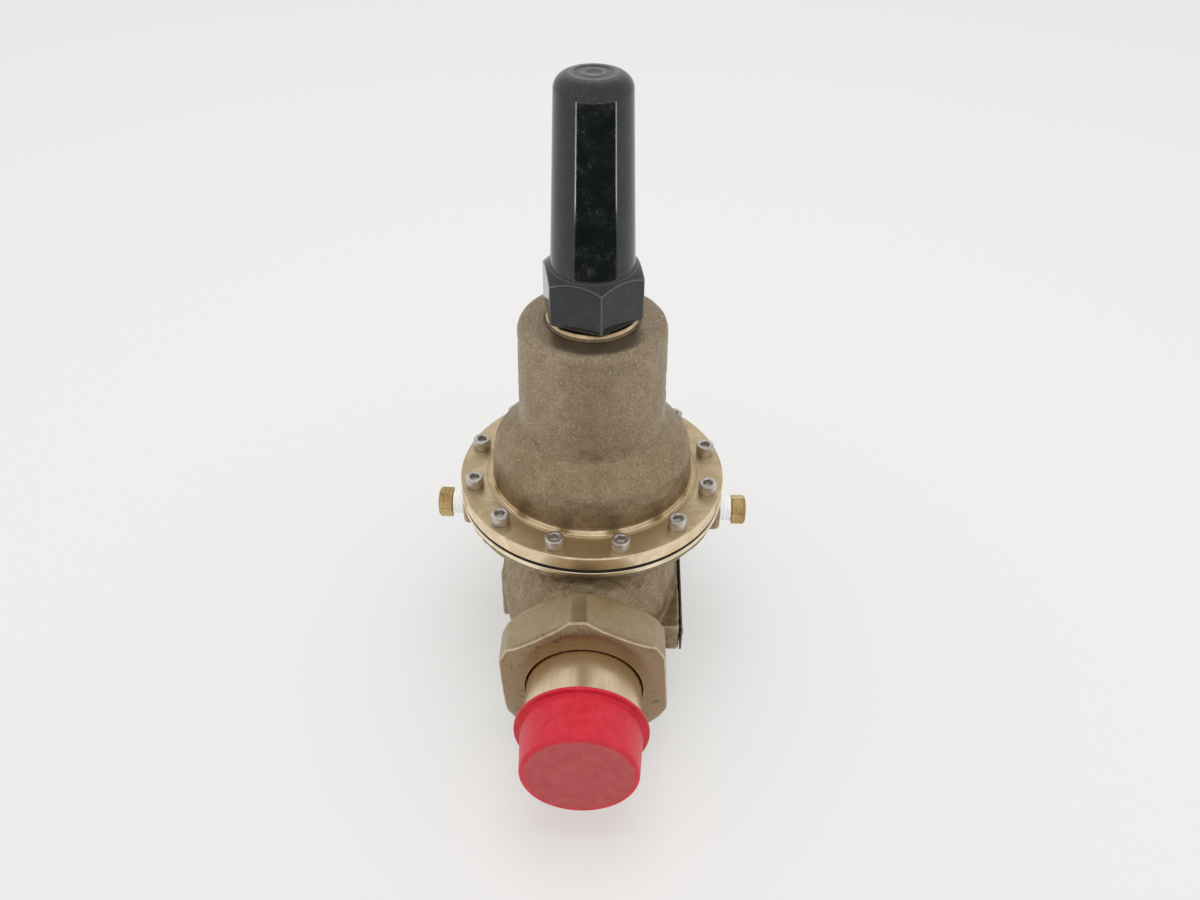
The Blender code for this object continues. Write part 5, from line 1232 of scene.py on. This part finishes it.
KEPT = {
    "seat_ring": inner_steel, "strainer_screen": inner_steel, "stem": inner_steel, "stem_nut": inner_steel,
    "disc_retainer": inner_steel, "disc_nut": inner_steel, "diaphragm_plate": cast_bronze,
    "diaphragm_washer": inner_brass, "disc_holder": inner_brass, "valve_disc": black_rubber,
    "spring_button": spring_steel,
}


def dress_kept_nodes():
    for name, material in KEPT.items():
        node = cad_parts[name]
        node.data.materials.clear()
        node.data.materials.append(material)


# ---------------------------------------------------------------- floor, light and camera


def plain_material(name, colour, roughness, glow=0.0):
    """Staging material: matt, with part of its brightness as a plain glow that softens the shadow."""
    s = Shade(name, roughness=roughness)
    s.shader.inputs["Base Color"].default_value = (*colour, 1.0)
    s.shader.inputs["Specular IOR Level"].default_value = 0.0
    if glow:
        s.shader.inputs["Emission Color"].default_value = (*colour, 1.0)
        s.shader.inputs["Emission Strength"].default_value = glow
    return s.material


def make_stage():
    mesh = bpy.data.meshes.new("floor")
    bm = bmesh.new()
    bmesh.ops.create_circle(bm, cap_ends=True, segments=96, radius=14.0)
    bm.to_mesh(mesh)
    bm.free()
    floor = bpy.data.objects.new("floor", mesh)
    bpy.context.scene.collection.objects.link(floor)
    floor.location.z = -0.02 * MM
    mesh.materials.append(plain_material("floor_paper", (0.45, 0.448, 0.444), 0.9, 0.9))

    world = bpy.data.worlds.new("studio")
    bpy.context.scene.world = world
    world.use_nodes = True
    background = world.node_tree.nodes["Background"]
    background.inputs["Color"].default_value = (0.885, 0.882, 0.872, 1.0)
    background.inputs["Strength"].default_value = 0.93

    # A dark card with bright edges lies on the floor in front and shows only in reflections.
    card = bpy.data.meshes.new("dark_opening")
    inner_r, outer_r, corner_r = 0.50, 1.30, 1.22
    steps = 58
    angles = np.radians(np.linspace(-46.5, 66.5, steps))
    ends = np.minimum(np.arange(steps), np.arange(steps)[::-1])
    reach = corner_r + (outer_r - corner_r) * np.clip(ends / 3.0, 0.0, 1.0)
    directions = [(math.sin(a), -math.cos(a)) for a in angles]
    verts = [(x * inner_r, y * inner_r, 0.0012) for x, y in directions]
    verts += [(x * r, y * r, 0.0012) for (x, y), r in zip(directions, reach)]
    count = len(angles)
    faces = [(i, i + 1, count + i + 1, count + i) for i in range(count - 1)]
    card.from_pydata(verts, [], faces)
    card.materials.append(plain_material("opening_black", (0.004, 0.004, 0.004), 1.0))
    opening = bpy.data.objects.new("dark_opening", card)
    strip_mesh = bpy.data.meshes.new("opening_edge")
    strip_verts, strip_faces = [], []

    def band(path, width):
        start = len(strip_verts)
        for (x, y), (nx, ny) in path:
            strip_verts.append((x - nx * width / 2, y - ny * width / 2, 0.0018))
            strip_verts.append((x + nx * width / 2, y + ny * width / 2, 0.0018))
        for i in range(len(path) - 1):
            k = start + 2 * i
            strip_faces.append((k, k + 1, k + 3, k + 2))

    for (x, y), width in ((directions[0], 0.042), (directions[-1], 0.036)):
        band([((x * r, y * r), (-y, x)) for r in np.linspace(0.70, corner_r, 8)], width)
    band([((x * r, y * r), (x, y)) for (x, y), r in zip(directions, reach)], 0.02)
    strip_mesh.from_pydata(strip_verts, [], strip_faces)
    strip_mesh.materials.append(plain_material("edge_glow", (1.0, 1.0, 1.0), 1.0, 10.0))
    edge = bpy.data.objects.new("opening_edge", strip_mesh)
    for obj in (opening, edge):
        bpy.context.scene.collection.objects.link(obj)
        obj.visible_camera = False
        obj.visible_diffuse = False
        obj.visible_shadow = False
        obj.visible_transmission = False

    lamp_data = bpy.data.lights.new("overhead", "AREA")
    lamp_data.shape = "DISK"
    lamp_data.size = 1.3
    lamp_data.energy = 8.0
    lamp = bpy.data.objects.new("overhead", lamp_data)
    lamp.location = (0.05, 0.1, 1.8)
    lamp.rotation_euler = (Vector((0.0, 0.0, 0.1)) - lamp.location).to_track_quat("-Z", "Y").to_euler()
    lamp.visible_glossy = False
    bpy.context.scene.collection.objects.link(lamp)


def make_camera():
    yaw, pitch, roll = math.radians(-1.483), math.radians(38.14), math.radians(0.555)
    forward = Vector((math.sin(yaw) * math.cos(pitch), math.cos(yaw) * math.cos(pitch), -math.sin(pitch)))
    right = Vector((math.cos(yaw), -math.sin(yaw), 0.0))
    up = right.cross(forward)
    level_right = right * math.cos(roll) + up * math.sin(roll)
    level_up = up * math.cos(roll) - right * math.sin(roll)
    data = bpy.data.cameras.new("camera")
    data.lens = 31.76
    data.sensor_width = 36.0
    data.clip_start = 0.02
    data.clip_end = 40.0
    camera = bpy.data.objects.new("camera", data)
    axes = Matrix((level_right, level_up, -forward)).transposed().to_4x4()
    camera.matrix_world = Matrix.Translation(Vector((16.39, -464.80, 492.18)) * MM) @ axes
    bpy.context.scene.collection.objects.link(camera)
    bpy.context.scene.camera = camera
    bpy.context.scene.view_settings.view_transform = "Standard"


make_body()
make_inlet_thread()
make_outlet_thread()
make_port_rings()
make_bonnet()
make_screws()
make_diaphragm_edge()
make_cap()
make_adjuster()
make_lock_nut()
make_union_nut()
make_tailpiece()
make_protector()
make_gauge_plugs()
make_name_plate()
make_bottom_plug()
make_range_spring()
dress_kept_nodes()
make_stage()
make_camera()
